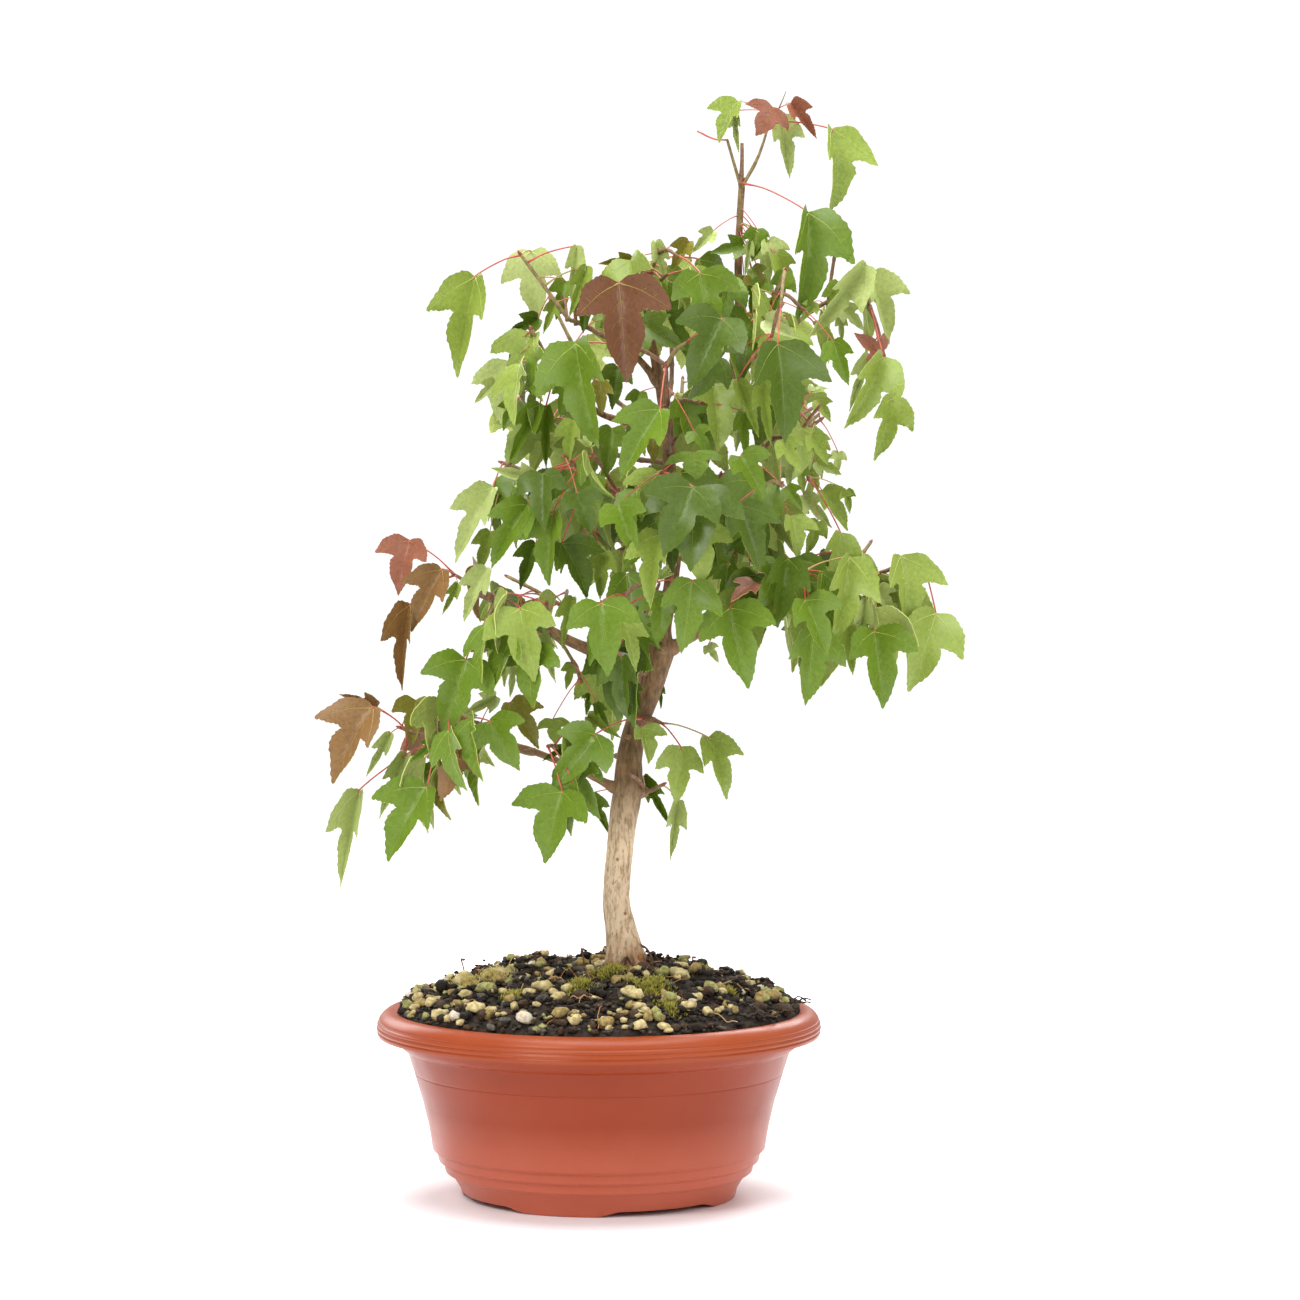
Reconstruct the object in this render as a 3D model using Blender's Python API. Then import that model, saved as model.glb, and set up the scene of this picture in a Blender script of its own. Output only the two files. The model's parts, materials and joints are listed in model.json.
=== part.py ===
"""A young trident maple grown as a bonsai, in the round plastic bowl that it is sold in.

Lengths are millimetres here and become metres when the meshes are made. The working origin is on the
bowl's axis in the plane of its feet, +X to the right, +Y to the back and +Z up. At the end everything is
moved so that the origin lies under the middle of the whole plant's box.
"""

import math
import random
from dataclasses import dataclass

import bmesh
import bpy
from mathutils import Matrix, Vector
from mathutils.bvhtree import BVHTree

MM = 0.001
CLEARANCE = 0.3
UP = Vector((0, 0, 1))

# Bowl: outer diameter and height of the rim, wall, and four feet cut from the base ring
RIM_RADIUS = 100.0
RIM_HEIGHT = 84.4
WALL = 2.4
FOOT_HEIGHT = 2.4
FOOT_AZIMUTH = -106.0
BOWL_SEGMENTS = 40
STEPS_PER_FOOT = 10
FOOT_FLAT_STEPS = 2
FOOT_RING_INNER = 50.0
DRAIN_RADIUS = 4.5
DRAIN_CIRCLE = 34.0
DRAIN_COUNT = 4
DRAIN_SIDES = 8
SHARP_EDGE = 35.0

# Soil: a mound that stands above the rim, flat where the trunk stands and with clods of mix round it
SOIL_TOP = 101.0
SOIL_FLAT = 25.0
SOIL_DROP = 18.0
SOIL_SEGMENTS = 18
SOIL_EDGE = 82.5
SOIL_RADIUS = 90.3
SOIL_FLANK = ((52.0, 7.0), (60.5, 9.6), (75.5, 44.2), (83.0, 67.0))
SOIL_RINGS = (0.75, 0.5, 0.25, 0.0)
SOIL_FALL = 1.7
CLOD_RISE = 4.2
CLOD_UNEVEN = 0.35
CLOD_TURN = 2.4

# Trunk and second leader: x, y, z and radius down the middle line, from the ground to the fork
TRUNK = (
    (12.3, 0.0, SOIL_TOP + CLEARANCE, 10.4),
    (11.4, 0.0, 111.0, 8.8),
    (9.7, 0.0, 121.0, 6.9),
    (7.9, -1.0, 134.0, 6.1),
    (9.0, -2.0, 152.0, 6.0),
    (11.0, -1.5, 170.0, 6.2),
    (12.6, 0.0, 181.0, 6.5),
    (14.1, 1.5, 199.0, 5.6),
    (17.2, 2.5, 213.0, 5.1),
    (22.4, 2.0, 226.0, 5.1),
    (25.6, 1.0, 238.0, 5.9),
    (27.6, 0.5, 246.0, 6.2),
    (28.8, 0.5, 256.0, 3.9),
    (31.5, 2.0, 270.0, 3.3),
    (33.5, 3.0, 288.0, 3.2),
    (32.2, 3.0, 314.0, 2.9),
    (30.8, 1.0, 345.0, 2.8),
    (28.6, 0.0, 360.0, 2.7),
    (26.7, 0.0, 370.0, 2.4),
    (23.4, -1.0, 385.0, 1.7),
)
LEADER = (
    (33.0, 3.0, 286.0, 2.7),
    (38.5, -1.0, 306.0, 2.7),
    (45.6, -4.0, 327.0, 2.7),
    (52.8, -5.0, 348.0, 2.6),
    (59.5, -4.5, 366.0, 2.4),
    (62.6, -4.0, 390.0, 2.0),
    (62.2, -3.5, 414.0, 1.7),
    (63.8, -3.0, 455.0, 1.3),
)
TRUNK_SIDES = 10
TRUNK_STEPS = 1
FLARE_TOP = 124.0
FLARE_LOBES = 4
FLARE_DEPTH = 0.13
FLARE_TURN = 0.6
LEADER_SIDES = 7
BOUGH_SIDES = 5
BOUGH_STEPS = 4
BOUGH_SAG = 0.35

# Leaf: outline of one half on a blade one unit long, from the petiole to the tip
LEAF_HALF = ((0.25, -0.03), (0.48, 0.38), (0.17, 0.39))
LEAF_THICKNESS = 0.6
LEAF_LONGEST = 47.0
LEAF_SHORTEST = 30.0
LEAF_FOLD = 0.30
PETIOLE_LONGEST = 26.0
PETIOLE_SHORTEST = 10.0
PETIOLE_HALF_WIDTH = 0.35
STEM_RADIUS = 1.2
TWIG_TIP_RADIUS = 0.95
TWIG_SIDES = 3
TWIG_SINK = 0.4
STEM_GAP = 0.1
STEM_BEND = 0.45
PAIR_OFFSET = 1.4
SHARPEST_TURN = -0.4
LEAST_PIECE = 8
SIDE_TWIG = 24.0
SIDE_SPREAD = (0.7, 1.15)
SIDE_AHEAD = 0.7
SIDE_LIFT = 0.3
SIDE_TAPER = 0.8
SIDE_NODES = (0.98, 0.5)
SIDE_SCALE = 0.85
TRIES = 30
STEM_NODES = (0.98, 0.8, 0.62, 0.45)
PASSES = 4
PASS_STEP = 0.05
PASS_TURN = 0.8
PASS_SHRINK = 0.12
FIRST_TURN = 0.6
SCALE_EFFECT = 0.25
SPACE_MARGIN = 0.25
HANG = 9.0
SPACE_SET_BACK = 0.25

# How leaves hang: the plant's middle that they face away from, and the spread of their directions
CROWN_MIDDLE = 28.0
BREADTH = 0.5
FACE_SPREAD = 0.55
PETIOLE_AHEAD = 0.35
PETIOLE_SPREAD = (0.7, 1.3)
PETIOLE_LIFT = (-0.25, 0.3)
BLADE_OUT = (-0.1, 0.4)
BLADE_TILT = (0.1, 0.5)
BLADE_SWING = 0.5
BLADE_FOLLOW = 0.35


@dataclass(frozen=True)
class Bough:
    """A tapering limb from a point of its parent, by height, through an optional bend to its tip."""

    name: str
    parent: str
    height: float
    tip: tuple
    root_radius: float
    tip_radius: float
    via: tuple = ()
    rise: float = 6.0


@dataclass(frozen=True)
class Mass:
    """Foliage on one stem. Its space is a ball cut by its neighbours, and holder is what the stem meets."""

    name: str
    holder: str
    tip: tuple
    reach: float
    leaves: int
    sides: int
    seed: int
    height: float = 0.0
    bronze: bool = False


BOUGHS = (
    Bough("low_left_limb", "trunk", 181, (-52, -4, 206), 1.9, 1.2, ((-6, -2, 191), (-33, -4, 202))),
    Bough("low_left_spur", "low_left_limb", 193, (-16, -17, 200), 1.2, 0.9),
    Bough("low_left_side", "low_left_limb", 200.5, (-40, -19, 207), 1.2, 0.9),
    Bough("mid_left_limb", "trunk", 242, (-53, -6, 271), 2.1, 1.2, ((-5, -4, 248), (-24, -5, 257))),
    Bough("mid_left_front_bough", "trunk", 236, (-16, -28, 252), 1.8, 1.0),
    Bough("mid_left_back_bough", "trunk", 240, (-8, 28, 258), 1.8, 1.0),
    Bough("low_back_bough", "trunk", 222, (18, 30, 238), 1.7, 1.0),
    Bough("right_arm", "trunk", 244, (100, -4, 275), 2.5, 1.3, ((45, -1, 254), (56, -3, 265), (79, -4, 272))),
    Bough("right_arm_front_bough", "right_arm", 262, (66, -26, 274), 1.5, 1.0),
    Bough("right_arm_back_bough", "right_arm", 266, (72, 24, 276), 1.5, 1.0),
    Bough("centre_front_bough", "trunk", 284, (27, -32, 308), 1.7, 1.0),
    Bough("centre_back_bough", "trunk", 280, (29, 36, 304), 1.7, 1.0),
    Bough("left_limb", "trunk", 300, (-18, -2, 322), 1.9, 1.1),
    Bough("right_shoulder_bough", "leader", 320, (78, -10, 341), 1.7, 1.1, ((62, -8, 327),)),
    Bough("right_back_bough", "leader", 316, (72, 28, 336), 1.6, 1.0),
    Bough("left_upper_limb", "trunk", 344, (-14, -5, 364), 2.0, 1.1, ((14, -1, 348), (1, -3, 352))),
    Bough("fork_left", "trunk", 364, (-6, -5, 391), 1.8, 1.1, ((15, -2, 379),)),
    Bough("upper_right_bough", "leader", 372, (88, -6, 392), 1.6, 1.0),
)
MASSES = (
    Mass("top_sprig", "leader", (82, -4, 472), 60, 8, 1, 11),
    Mass("upper_right_spray", "upper_right_bough", (120, -8, 409), 50, 7, 1, 12),
    Mass("upper_right_front", "leader", (82, -46, 415), 50, 6, 1, 13, 388),
    Mass("upper_right_back", "leader", (84, 50, 410), 54, 6, 1, 54, 380),
    Mass("right_shoulder", "right_shoulder_bough", (106, -28, 354), 46, 5, 1, 15),
    Mass("right_shoulder_back", "right_back_bough", (102, 54, 356), 48, 5, 1, 16),
    Mass("crown_top", "trunk", (26, -16, 423), 50, 6, 1, 17),
    Mass("crown_top_back", "trunk", (30, 46, 418), 54, 6, 1, 58, 356),
    Mass("upper_left_spray", "fork_left", (-40, -10, 424), 52, 7, 1, 20),
    Mass("upper_left_back", "trunk", (-22, 44, 402), 54, 6, 1, 51, 350),
    Mass("left_shoulder", "left_upper_limb", (-46, -20, 384), 46, 5, 1, 22),
    Mass("left_shoulder_back", "trunk", (-40, 46, 360), 50, 5, 1, 23, 330),
    Mass("centre_upper_front", "trunk", (30, -60, 374), 50, 5, 1, 24, 335),
    Mass("centre_upper_back", "trunk", (38, 70, 366), 54, 6, 1, 55, 326),
    Mass("left_mid_front", "trunk", (-14, -54, 334), 48, 5, 1, 26, 312),
    Mass("left_mid_spray", "left_limb", (-60, -4, 340), 46, 5, 1, 27),
    Mass("left_mid_back", "trunk", (-30, 56, 314), 50, 5, 1, 28, 292),
    Mass("centre_front", "centre_front_bough", (28, -76, 328), 48, 5, 1, 29),
    Mass("centre_back", "centre_back_bough", (30, 80, 318), 50, 5, 1, 30),
    Mass("right_mid_front", "leader", (80, -50, 322), 50, 6, 1, 31, 306),
    Mass("right_mid_back", "trunk", (82, 44, 312), 50, 5, 1, 32, 290),
    Mass("bronze_sprig", "mid_left_limb", (-84, -8, 286), 44, 3, 0, 33, bronze=True),
    Mass("left_low_front", "mid_left_front_bough", (-44, -44, 272), 46, 5, 1, 34),
    Mass("left_low_back", "mid_left_back_bough", (-42, 54, 276), 48, 5, 1, 35),
    Mass("centre_low_front", "trunk", (12, -62, 274), 48, 5, 1, 36, 252),
    Mass("low_back", "low_back_bough", (18, 68, 256), 48, 5, 1, 37),
    Mass("right_arm_spray", "right_arm", (144, -6, 288), 50, 7, 1, 38),
    Mass("right_arm_front", "right_arm_front_bough", (90, -56, 284), 48, 5, 1, 39),
    Mass("right_arm_back", "right_arm_back_bough", (94, 58, 282), 50, 5, 1, 40),
    Mass("low_left_tip", "low_left_limb", (-104, -4, 214), 56, 7, 1, 41, bronze=True),
    Mass("low_left_mid", "low_left_side", (-66, -38, 220), 46, 4, 1, 42),
    Mass("low_left_near", "low_left_spur", (-22, -38, 206), 44, 4, 1, 43),
    Mass("low_right", "trunk", (44, -8, 200), 44, 4, 1, 44, 184),
)


def clear_scene():
    """Remove every object of the open scene."""
    for thing in list(bpy.data.objects):
        bpy.data.objects.remove(thing, do_unlink=True)


def make_material(name, colour, roughness):
    """Return a new Principled material."""
    material = bpy.data.materials.new(name)
    material.use_nodes = True
    shader = material.node_tree.nodes["Principled BSDF"]
    shader.inputs["Base Color"].default_value = (*colour, 1.0)
    shader.inputs["Roughness"].default_value = roughness
    shader.inputs["Metallic"].default_value = 0.0
    return material


def add_object(name, vertices, faces, material=None):
    """Make an object from points in millimetres and their faces."""
    mesh = bpy.data.meshes.new(name)
    mesh.from_pydata([tuple(MM * c for c in v) for v in vertices], [], faces)
    mesh.update()
    thing = bpy.data.objects.new(name, mesh)
    bpy.context.scene.collection.objects.link(thing)
    if material:
        mesh.materials.append(material)
    return thing


def apply_modifiers(thing):
    """Replace an object's mesh by its evaluated mesh and drop its modifiers."""
    graph = bpy.context.evaluated_depsgraph_get()
    mesh = bpy.data.meshes.new_from_object(thing.evaluated_get(graph))
    thing.modifiers.clear()
    thing.data = mesh


def revolve(rings, segments, start_degrees):
    """Turn rings of (radius, height by step) into vertices and faces, open at both ends."""
    vertices = []
    faces = []
    for radius, height_at in rings:
        for step in range(segments):
            angle = math.radians(start_degrees + 360.0 * step / segments)
            vertices.append((radius * math.cos(angle), radius * math.sin(angle), height_at(step)))
    for ring in range(len(rings) - 1):
        for step in range(segments):
            after = (step + 1) % segments
            low = ring * segments
            high = low + segments
            faces.append((low + step, low + after, high + after, high + step))
    return vertices, faces


def level(height):
    """Return a ring's height function for a flat ring."""
    return lambda step: height


def foot_height(step):
    """Return the height of the base ring at a step: down on a foot, up between two feet."""
    offset = (step + STEPS_PER_FOOT // 2) % STEPS_PER_FOOT - STEPS_PER_FOOT // 2
    return 0.0 if abs(offset) <= FOOT_FLAT_STEPS else FOOT_HEIGHT


def build_pot(material):
    """Make the bowl: ringed foot, three low ridges, flaring wall, collar and rolled rim, with drain holes."""
    outside = (
        (66.5, 10.5), (69.2, 11.6), (70.0, 15.3), (72.2, 16.4), (73.0, 20.3), (75.0, 23.8), (76.6, 32.0),
        (79.2, 43.0), (82.6, 54.5), (84.6, 61.0), (87.0, 67.0), (90.0, 69.5), (98.5, 73.6),
        (RIM_RADIUS, 76.4), (98.9, 80.2), (96.2, 83.4), (93.0, RIM_HEIGHT),
    )
    inside = ((91.2, 82.6), (84.3, 66.5), (76.7, 43.5), (72.5, 24.5), (63.5, 9.0), (54.0, 6.0))
    floor = FOOT_HEIGHT + WALL
    rings = [(54.0, foot_height), (61.5, foot_height), (62.4, level(FOOT_HEIGHT + 1.6))]
    rings = [(FOOT_RING_INNER, level(FOOT_HEIGHT))] + rings
    rings += [(radius, level(height)) for radius, height in outside + inside]
    vertices, faces = revolve(rings, BOWL_SEGMENTS, FOOT_AZIMUTH)
    last = len(vertices)
    vertices += [(0, 0, FOOT_HEIGHT), (0, 0, floor)]
    top = last - BOWL_SEGMENTS
    for step in range(BOWL_SEGMENTS):
        after = (step + 1) % BOWL_SEGMENTS
        faces.append((after, step, last))
        faces.append((top + step, top + after, last + 1))
    pot = add_object("pot", vertices, faces, material)
    cutters = bpy.data.collections.new("drain_cutters")
    bpy.context.scene.collection.children.link(cutters)
    for hole in range(DRAIN_COUNT):
        angle = math.radians(FOOT_AZIMUTH + 360.0 * (hole + 0.5) / DRAIN_COUNT)
        centre = MM * DRAIN_CIRCLE * Vector((math.cos(angle), math.sin(angle), 0))
        mesh = bpy.data.meshes.new("drain")
        cylinder = bmesh.new()
        bmesh.ops.create_cone(
            cylinder,
            cap_ends=True,
            segments=DRAIN_SIDES,
            radius1=MM * DRAIN_RADIUS,
            radius2=MM * DRAIN_RADIUS,
            depth=MM * 4 * floor,
        )
        cylinder.to_mesh(mesh)
        cylinder.free()
        cutter = bpy.data.objects.new(f"drain_{hole + 1}", mesh)
        cutter.location = centre
        cutter.hide_render = True
        cutter.display_type = "WIRE"
        cutters.objects.link(cutter)
    cut = pot.modifiers.new("drains", "BOOLEAN")
    cut.operation = "DIFFERENCE"
    cut.operand_type = "COLLECTION"
    cut.collection = cutters
    bpy.context.view_layer.update()
    apply_modifiers(pot)
    drop_collection(cutters)
    pot.data.shade_smooth()
    pot.data.set_sharp_from_angle(angle=math.radians(SHARP_EDGE))
    return pot


def drop_collection(collection):
    """Remove a collection and the objects in it."""
    for thing in list(collection.objects):
        bpy.data.objects.remove(thing, do_unlink=True)
    bpy.data.collections.remove(collection)


def build_soil(material):
    """Make the soil: a mound that fills the bowl, clear of its wall, with a flat top under the trunk.

    Each cell of the mound's slope swells to a low peak, as a clod of mix.
    """
    rings = [*SOIL_FLANK, (SOIL_RADIUS, SOIL_EDGE)]
    for part in SOIL_RINGS:
        radius = SOIL_FLAT + (SOIL_RADIUS - SOIL_FLAT) * part
        rings.append((radius, SOIL_TOP - SOIL_DROP * part**SOIL_FALL))
    vertices, faces = revolve([(r, level(h)) for r, h in rings], SOIL_SEGMENTS, FOOT_AZIMUTH)
    top = len(vertices) - SOIL_SEGMENTS
    slope = faces[len(SOIL_FLANK) * SOIL_SEGMENTS :]
    del faces[len(SOIL_FLANK) * SOIL_SEGMENTS :]
    faces.append(tuple(range(SOIL_SEGMENTS - 1, -1, -1)))
    faces.append(tuple(range(top, len(vertices))))
    for order, cell in enumerate(slope):
        middle = sum((Vector(vertices[corner]) for corner in cell), Vector()) / len(cell)
        peak = len(vertices)
        vertices.append(middle + UP * CLOD_RISE * (1.0 + CLOD_UNEVEN * math.sin(CLOD_TURN * order)))
        faces += [(cell[side - 1], cell[side], peak) for side in range(len(cell))]
    return add_object("soil", vertices, faces, material)


def catmull(points, steps):
    """Return a smooth run of points through the given ones, with steps between each two."""
    ends = [2 * points[0] - points[1], *points, 2 * points[-1] - points[-2]]
    smooth = []
    for i in range(1, len(ends) - 2):
        a, b, c, d = ends[i - 1 : i + 3]
        for step in range(steps):
            t = step / steps
            bend_in = (2 * a - 5 * b + 4 * c - d) * t**2
            bend_out = (3 * b - 3 * c + d - a) * t**3
            smooth.append(0.5 * (2 * b + (c - a) * t + bend_in + bend_out))
    return [*smooth, points[-1].copy()]


def tube(path, radii, sides, flat_foot=False, shape=None):
    """Return the vertices and faces of a closed tube along a path.

    flat_foot keeps the first ring level, and shape gives a factor on the radius by point and angle.
    """
    vertices = []
    faces = []
    across = None
    for i, centre in enumerate(path):
        ahead = path[min(i + 1, len(path) - 1)] - path[max(i - 1, 0)]
        along = UP if flat_foot and i == 0 else ahead.normalized()
        if across is None:
            across = along.orthogonal()
        across = (across - along * across.dot(along)).normalized()
        beside = along.cross(across)
        for side in range(sides):
            angle = 2 * math.pi * side / sides
            radius = radii[i] * (shape(centre, angle) if shape else 1.0)
            vertices.append(centre + radius * (math.cos(angle) * across + math.sin(angle) * beside))
    for ring in range(len(path) - 1):
        for side in range(sides):
            after = (side + 1) % sides
            low = ring * sides
            faces.append((low + side, low + after, low + sides + after, low + sides + side))
    faces.append(tuple(range(sides - 1, -1, -1)))
    faces.append(tuple(range(len(vertices) - sides, len(vertices))))
    return vertices, faces


def flare(centre, angle):
    """Return the trunk's radius factor: root ridges that fade out up the trunk."""
    height = (centre.z - SOIL_TOP) / (FLARE_TOP - SOIL_TOP)
    return 1.0 + FLARE_DEPTH * max(0.0, 1.0 - height) * math.cos(FLARE_LOBES * angle + FLARE_TURN)


def smooth_limb(rows, steps):
    """Return the middle line and radii of a limb given by rows of x, y, z and radius."""
    path = catmull([Vector(row[:3]) for row in rows], steps)
    radii = [value.x for value in catmull([Vector((row[3], 0, 0)) for row in rows], steps)]
    return path, radii


def at_height(limb, height):
    """Return the point, direction and radius of a limb where it passes a height."""
    path, radii = limb
    for i in range(len(path) - 1):
        if path[i].z <= height <= path[i + 1].z:
            part = (height - path[i].z) / (path[i + 1].z - path[i].z)
            along = (path[i + 1] - path[i]).normalized()
            return path[i].lerp(path[i + 1], part), along, radii[i] + (radii[i + 1] - radii[i]) * part
    return path[-1].copy(), (path[-1] - path[-2]).normalized(), radii[-1]


def lay_bough(bough, limbs):
    """Return a bough's middle line and radii, from its parent's middle line to its tip."""
    start = at_height(limbs[bough.parent], bough.height)[0]
    tip = Vector(bough.tip)
    via = [Vector(point) for point in bough.via]
    if not via:
        via = [start.lerp(tip, 0.5) + Vector((0, 0, -BOUGH_SAG * bough.rise))]
    path = catmull([start, *via, tip], max(2, round(BOUGH_STEPS / (len(via) + 1))))
    fall = bough.tip_radius - bough.root_radius
    return path, [bough.root_radius + fall * i / (len(path) - 1) for i in range(len(path))]


def sleeve(limb, sides, shape=None):
    """Return a limb's tube grown by the clearance."""
    path, radii = limb
    return tube(path, [radius + CLEARANCE for radius in radii], sides, True, shape)


def build_limbs(bark):
    """Make the trunk, the second leader and the boughs, each cut clear of its parent."""
    limbs = {"trunk": smooth_limb(TRUNK, TRUNK_STEPS), "leader": smooth_limb(LEADER, TRUNK_STEPS)}
    parents = {"leader": "trunk"}
    for bough in BOUGHS:
        limbs[bough.name] = lay_bough(bough, limbs)
        parents[bough.name] = bough.parent
    sleeves = {}
    for name, limb in limbs.items():
        sides = {"trunk": TRUNK_SIDES, "leader": LEADER_SIDES}.get(name, BOUGH_SIDES)
        shape = flare if name == "trunk" else None
        sleeves[name] = sleeve(limb, sides, shape)
        vertices, faces = tube(*limb, sides, name == "trunk", shape)
        thing = add_object(name, vertices, faces, bark)
        if name not in parents:
            continue
        cutter = add_object(f"{name}_cutter", *sleeves[parents[name]])
        cut = thing.modifiers.new("clear_of_parent", "BOOLEAN")
        cut.operation = "DIFFERENCE"
        cut.object = cutter
        bpy.context.view_layer.update()
        apply_modifiers(thing)
        bpy.data.objects.remove(cutter, do_unlink=True)
    return limbs, sleeves


def stem_start(mass, limbs):
    """Return where a mass's stem starts, the way it sets out and its radius there.

    On a bough it goes on from the tip. On the trunk or the leader it leaves the side that faces its own tip,
    or goes on from the top where the mass gives no height.
    """
    limb = limbs[mass.holder]
    if not mass.height:
        path, radii = limb
        along = (path[-1] - path[-2]).normalized()
        return path[-1] + CLEARANCE * along, along, radii[-1]
    centre, along, radius = at_height(limb, mass.height)
    outward = Vector(mass.tip) - centre
    outward = (outward - along * outward.dot(along)).normalized()
    return centre + (radius + CLEARANCE + STEM_GAP) * outward, outward, STEM_RADIUS


def bend(start, heading, tip, steps=4):
    """Return a curve that sets out along a heading and ends at a tip."""
    middle = start + heading * (tip - start).length * STEM_BEND
    return [
        start * (1 - t) ** 2 + middle * (2 * t * (1 - t)) + tip * t**2
        for t in (i / steps for i in range(steps + 1))
    ]


class Space:
    """A mass's own room: a ball round its stem's outer end, cut half way to each neighbour's middle."""

    def __init__(self, masses, stems):
        """Take each mass's ball from its stem."""
        self.balls = {}
        for mass in masses:
            start = stems[mass.name][0][0]
            centre = Vector(mass.tip).lerp(start, SPACE_SET_BACK) - Vector((0, 0, HANG))
            self.balls[mass.name] = (centre, mass.reach)

    def holds(self, name, points):
        """Tell whether all the points are in the room of a mass."""
        centre, reach = self.balls[name]
        if any((point - centre).length > reach for point in points):
            return False
        for other, (middle, size) in self.balls.items():
            apart = (middle - centre).length
            if other == name or apart > reach + size:
                continue
            wall = 0.5 * apart - SPACE_MARGIN
            way = (middle - centre) / apart
            if any((point - centre).dot(way) > wall for point in points):
                return False
        return True


@dataclass
class Blade:
    """One leaf: where its petiole leaves the twig, where the blade starts, its directions and its length."""

    node: Vector
    base: Vector
    along: Vector
    face: Vector
    length: float

    def solid(self):
        """Return the vertices and faces of the leaf: a thin trident plate, folded along its middle vein, that
        narrows at its foot, by a mitre, into a four-sided petiole.
        """
        beside = self.along.cross(self.face)
        rims = []
        for side in (1, -1):
            for across, down in LEAF_HALF:
                lift = self.face * (LEAF_FOLD * across)
                rims.append(self.base + self.length * (side * across * beside + down * self.along + lift))
        outline = [*rims[:3], self.base + self.length * self.along, *reversed(rims[3:])]
        half = 0.5 * LEAF_THICKNESS
        way = (self.base - self.node).normalized()
        mitre = (self.along + way).normalized()
        foot = PETIOLE_HALF_WIDTH * (beside - mitre * beside.dot(mitre)).normalized()
        rise = half * (self.face - mitre * self.face.dot(mitre)).normalized()
        root_foot = PETIOLE_HALF_WIDTH * (foot - way * foot.dot(way)).normalized()
        root_rise = half * root_foot.cross(way).normalized()
        vertices = [self.base + foot + rise, *(point + half * self.face for point in outline)]
        vertices += [self.base - foot + rise]
        count = len(vertices)
        vertices += [self.base + foot - rise, *(point - half * self.face for point in outline)]
        vertices += [self.base - foot - rise]
        for across, above in ((1, 1), (-1, 1), (-1, -1), (1, -1)):
            vertices.append(self.node + across * root_foot + above * root_rise)
        upper_right, upper_left, lower_left, lower_right = range(2 * count, 2 * count + 4)
        last = count - 1
        faces = [(upper_right, upper_left, lower_left, lower_right)]
        faces += [(0, last, upper_left, upper_right), (last, count + last, lower_left, upper_left)]
        faces += [(count + last, count, lower_right, lower_left), (count, 0, upper_right, lower_right)]
        for a, b, c in ((0, 1, 2), (0, 2, 3), (0, 3, 4), (0, 4, 8), (8, 4, 5), (8, 5, 6), (8, 6, 7)):
            faces.append((a, b, c))
            faces.append((count + c, count + b, count + a))
        for i in range(last):
            faces.append((i, count + i, count + i + 1, i + 1))
        return vertices, faces


def blade_at(node, lateral, ahead, rng, scale):
    """Return a leaf that hangs from a node, its petiole spread to one side and its face turned outward."""
    spread = rng.uniform(*PETIOLE_SPREAD)
    way = (ahead * PETIOLE_AHEAD + lateral * spread + UP * rng.uniform(*PETIOLE_LIFT)).normalized()
    petiole = rng.uniform(PETIOLE_SHORTEST, PETIOLE_LONGEST) * scale
    base = node + way * petiole
    azimuth = math.atan2(base.y, BREADTH * (base.x - CROWN_MIDDLE)) + rng.gauss(0.0, FACE_SPREAD)
    out = Vector((math.cos(azimuth), math.sin(azimuth), 0))
    flat_way = Vector((way.x, way.y, 0))
    along = (-UP + BLADE_FOLLOW * flat_way + out * rng.uniform(*BLADE_OUT)).normalized()
    along = (along + BLADE_SWING * rng.uniform(-1, 1) * out.cross(UP)).normalized()
    face = out + UP * rng.uniform(*BLADE_TILT)
    face = (face - along * face.dot(along)).normalized()
    length = rng.uniform(LEAF_SHORTEST, LEAF_LONGEST) * (1.0 - SCALE_EFFECT + SCALE_EFFECT * scale)
    return Blade(node, base, along, face, length)


def tree_of(solids):
    """Return a search tree over several solids."""
    vertices = []
    faces = []
    for points, polygons in solids:
        shift = len(vertices)
        vertices += points
        faces += [tuple(shift + i for i in polygon) for polygon in polygons]
    return BVHTree.FromPolygons(vertices, faces)


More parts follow.
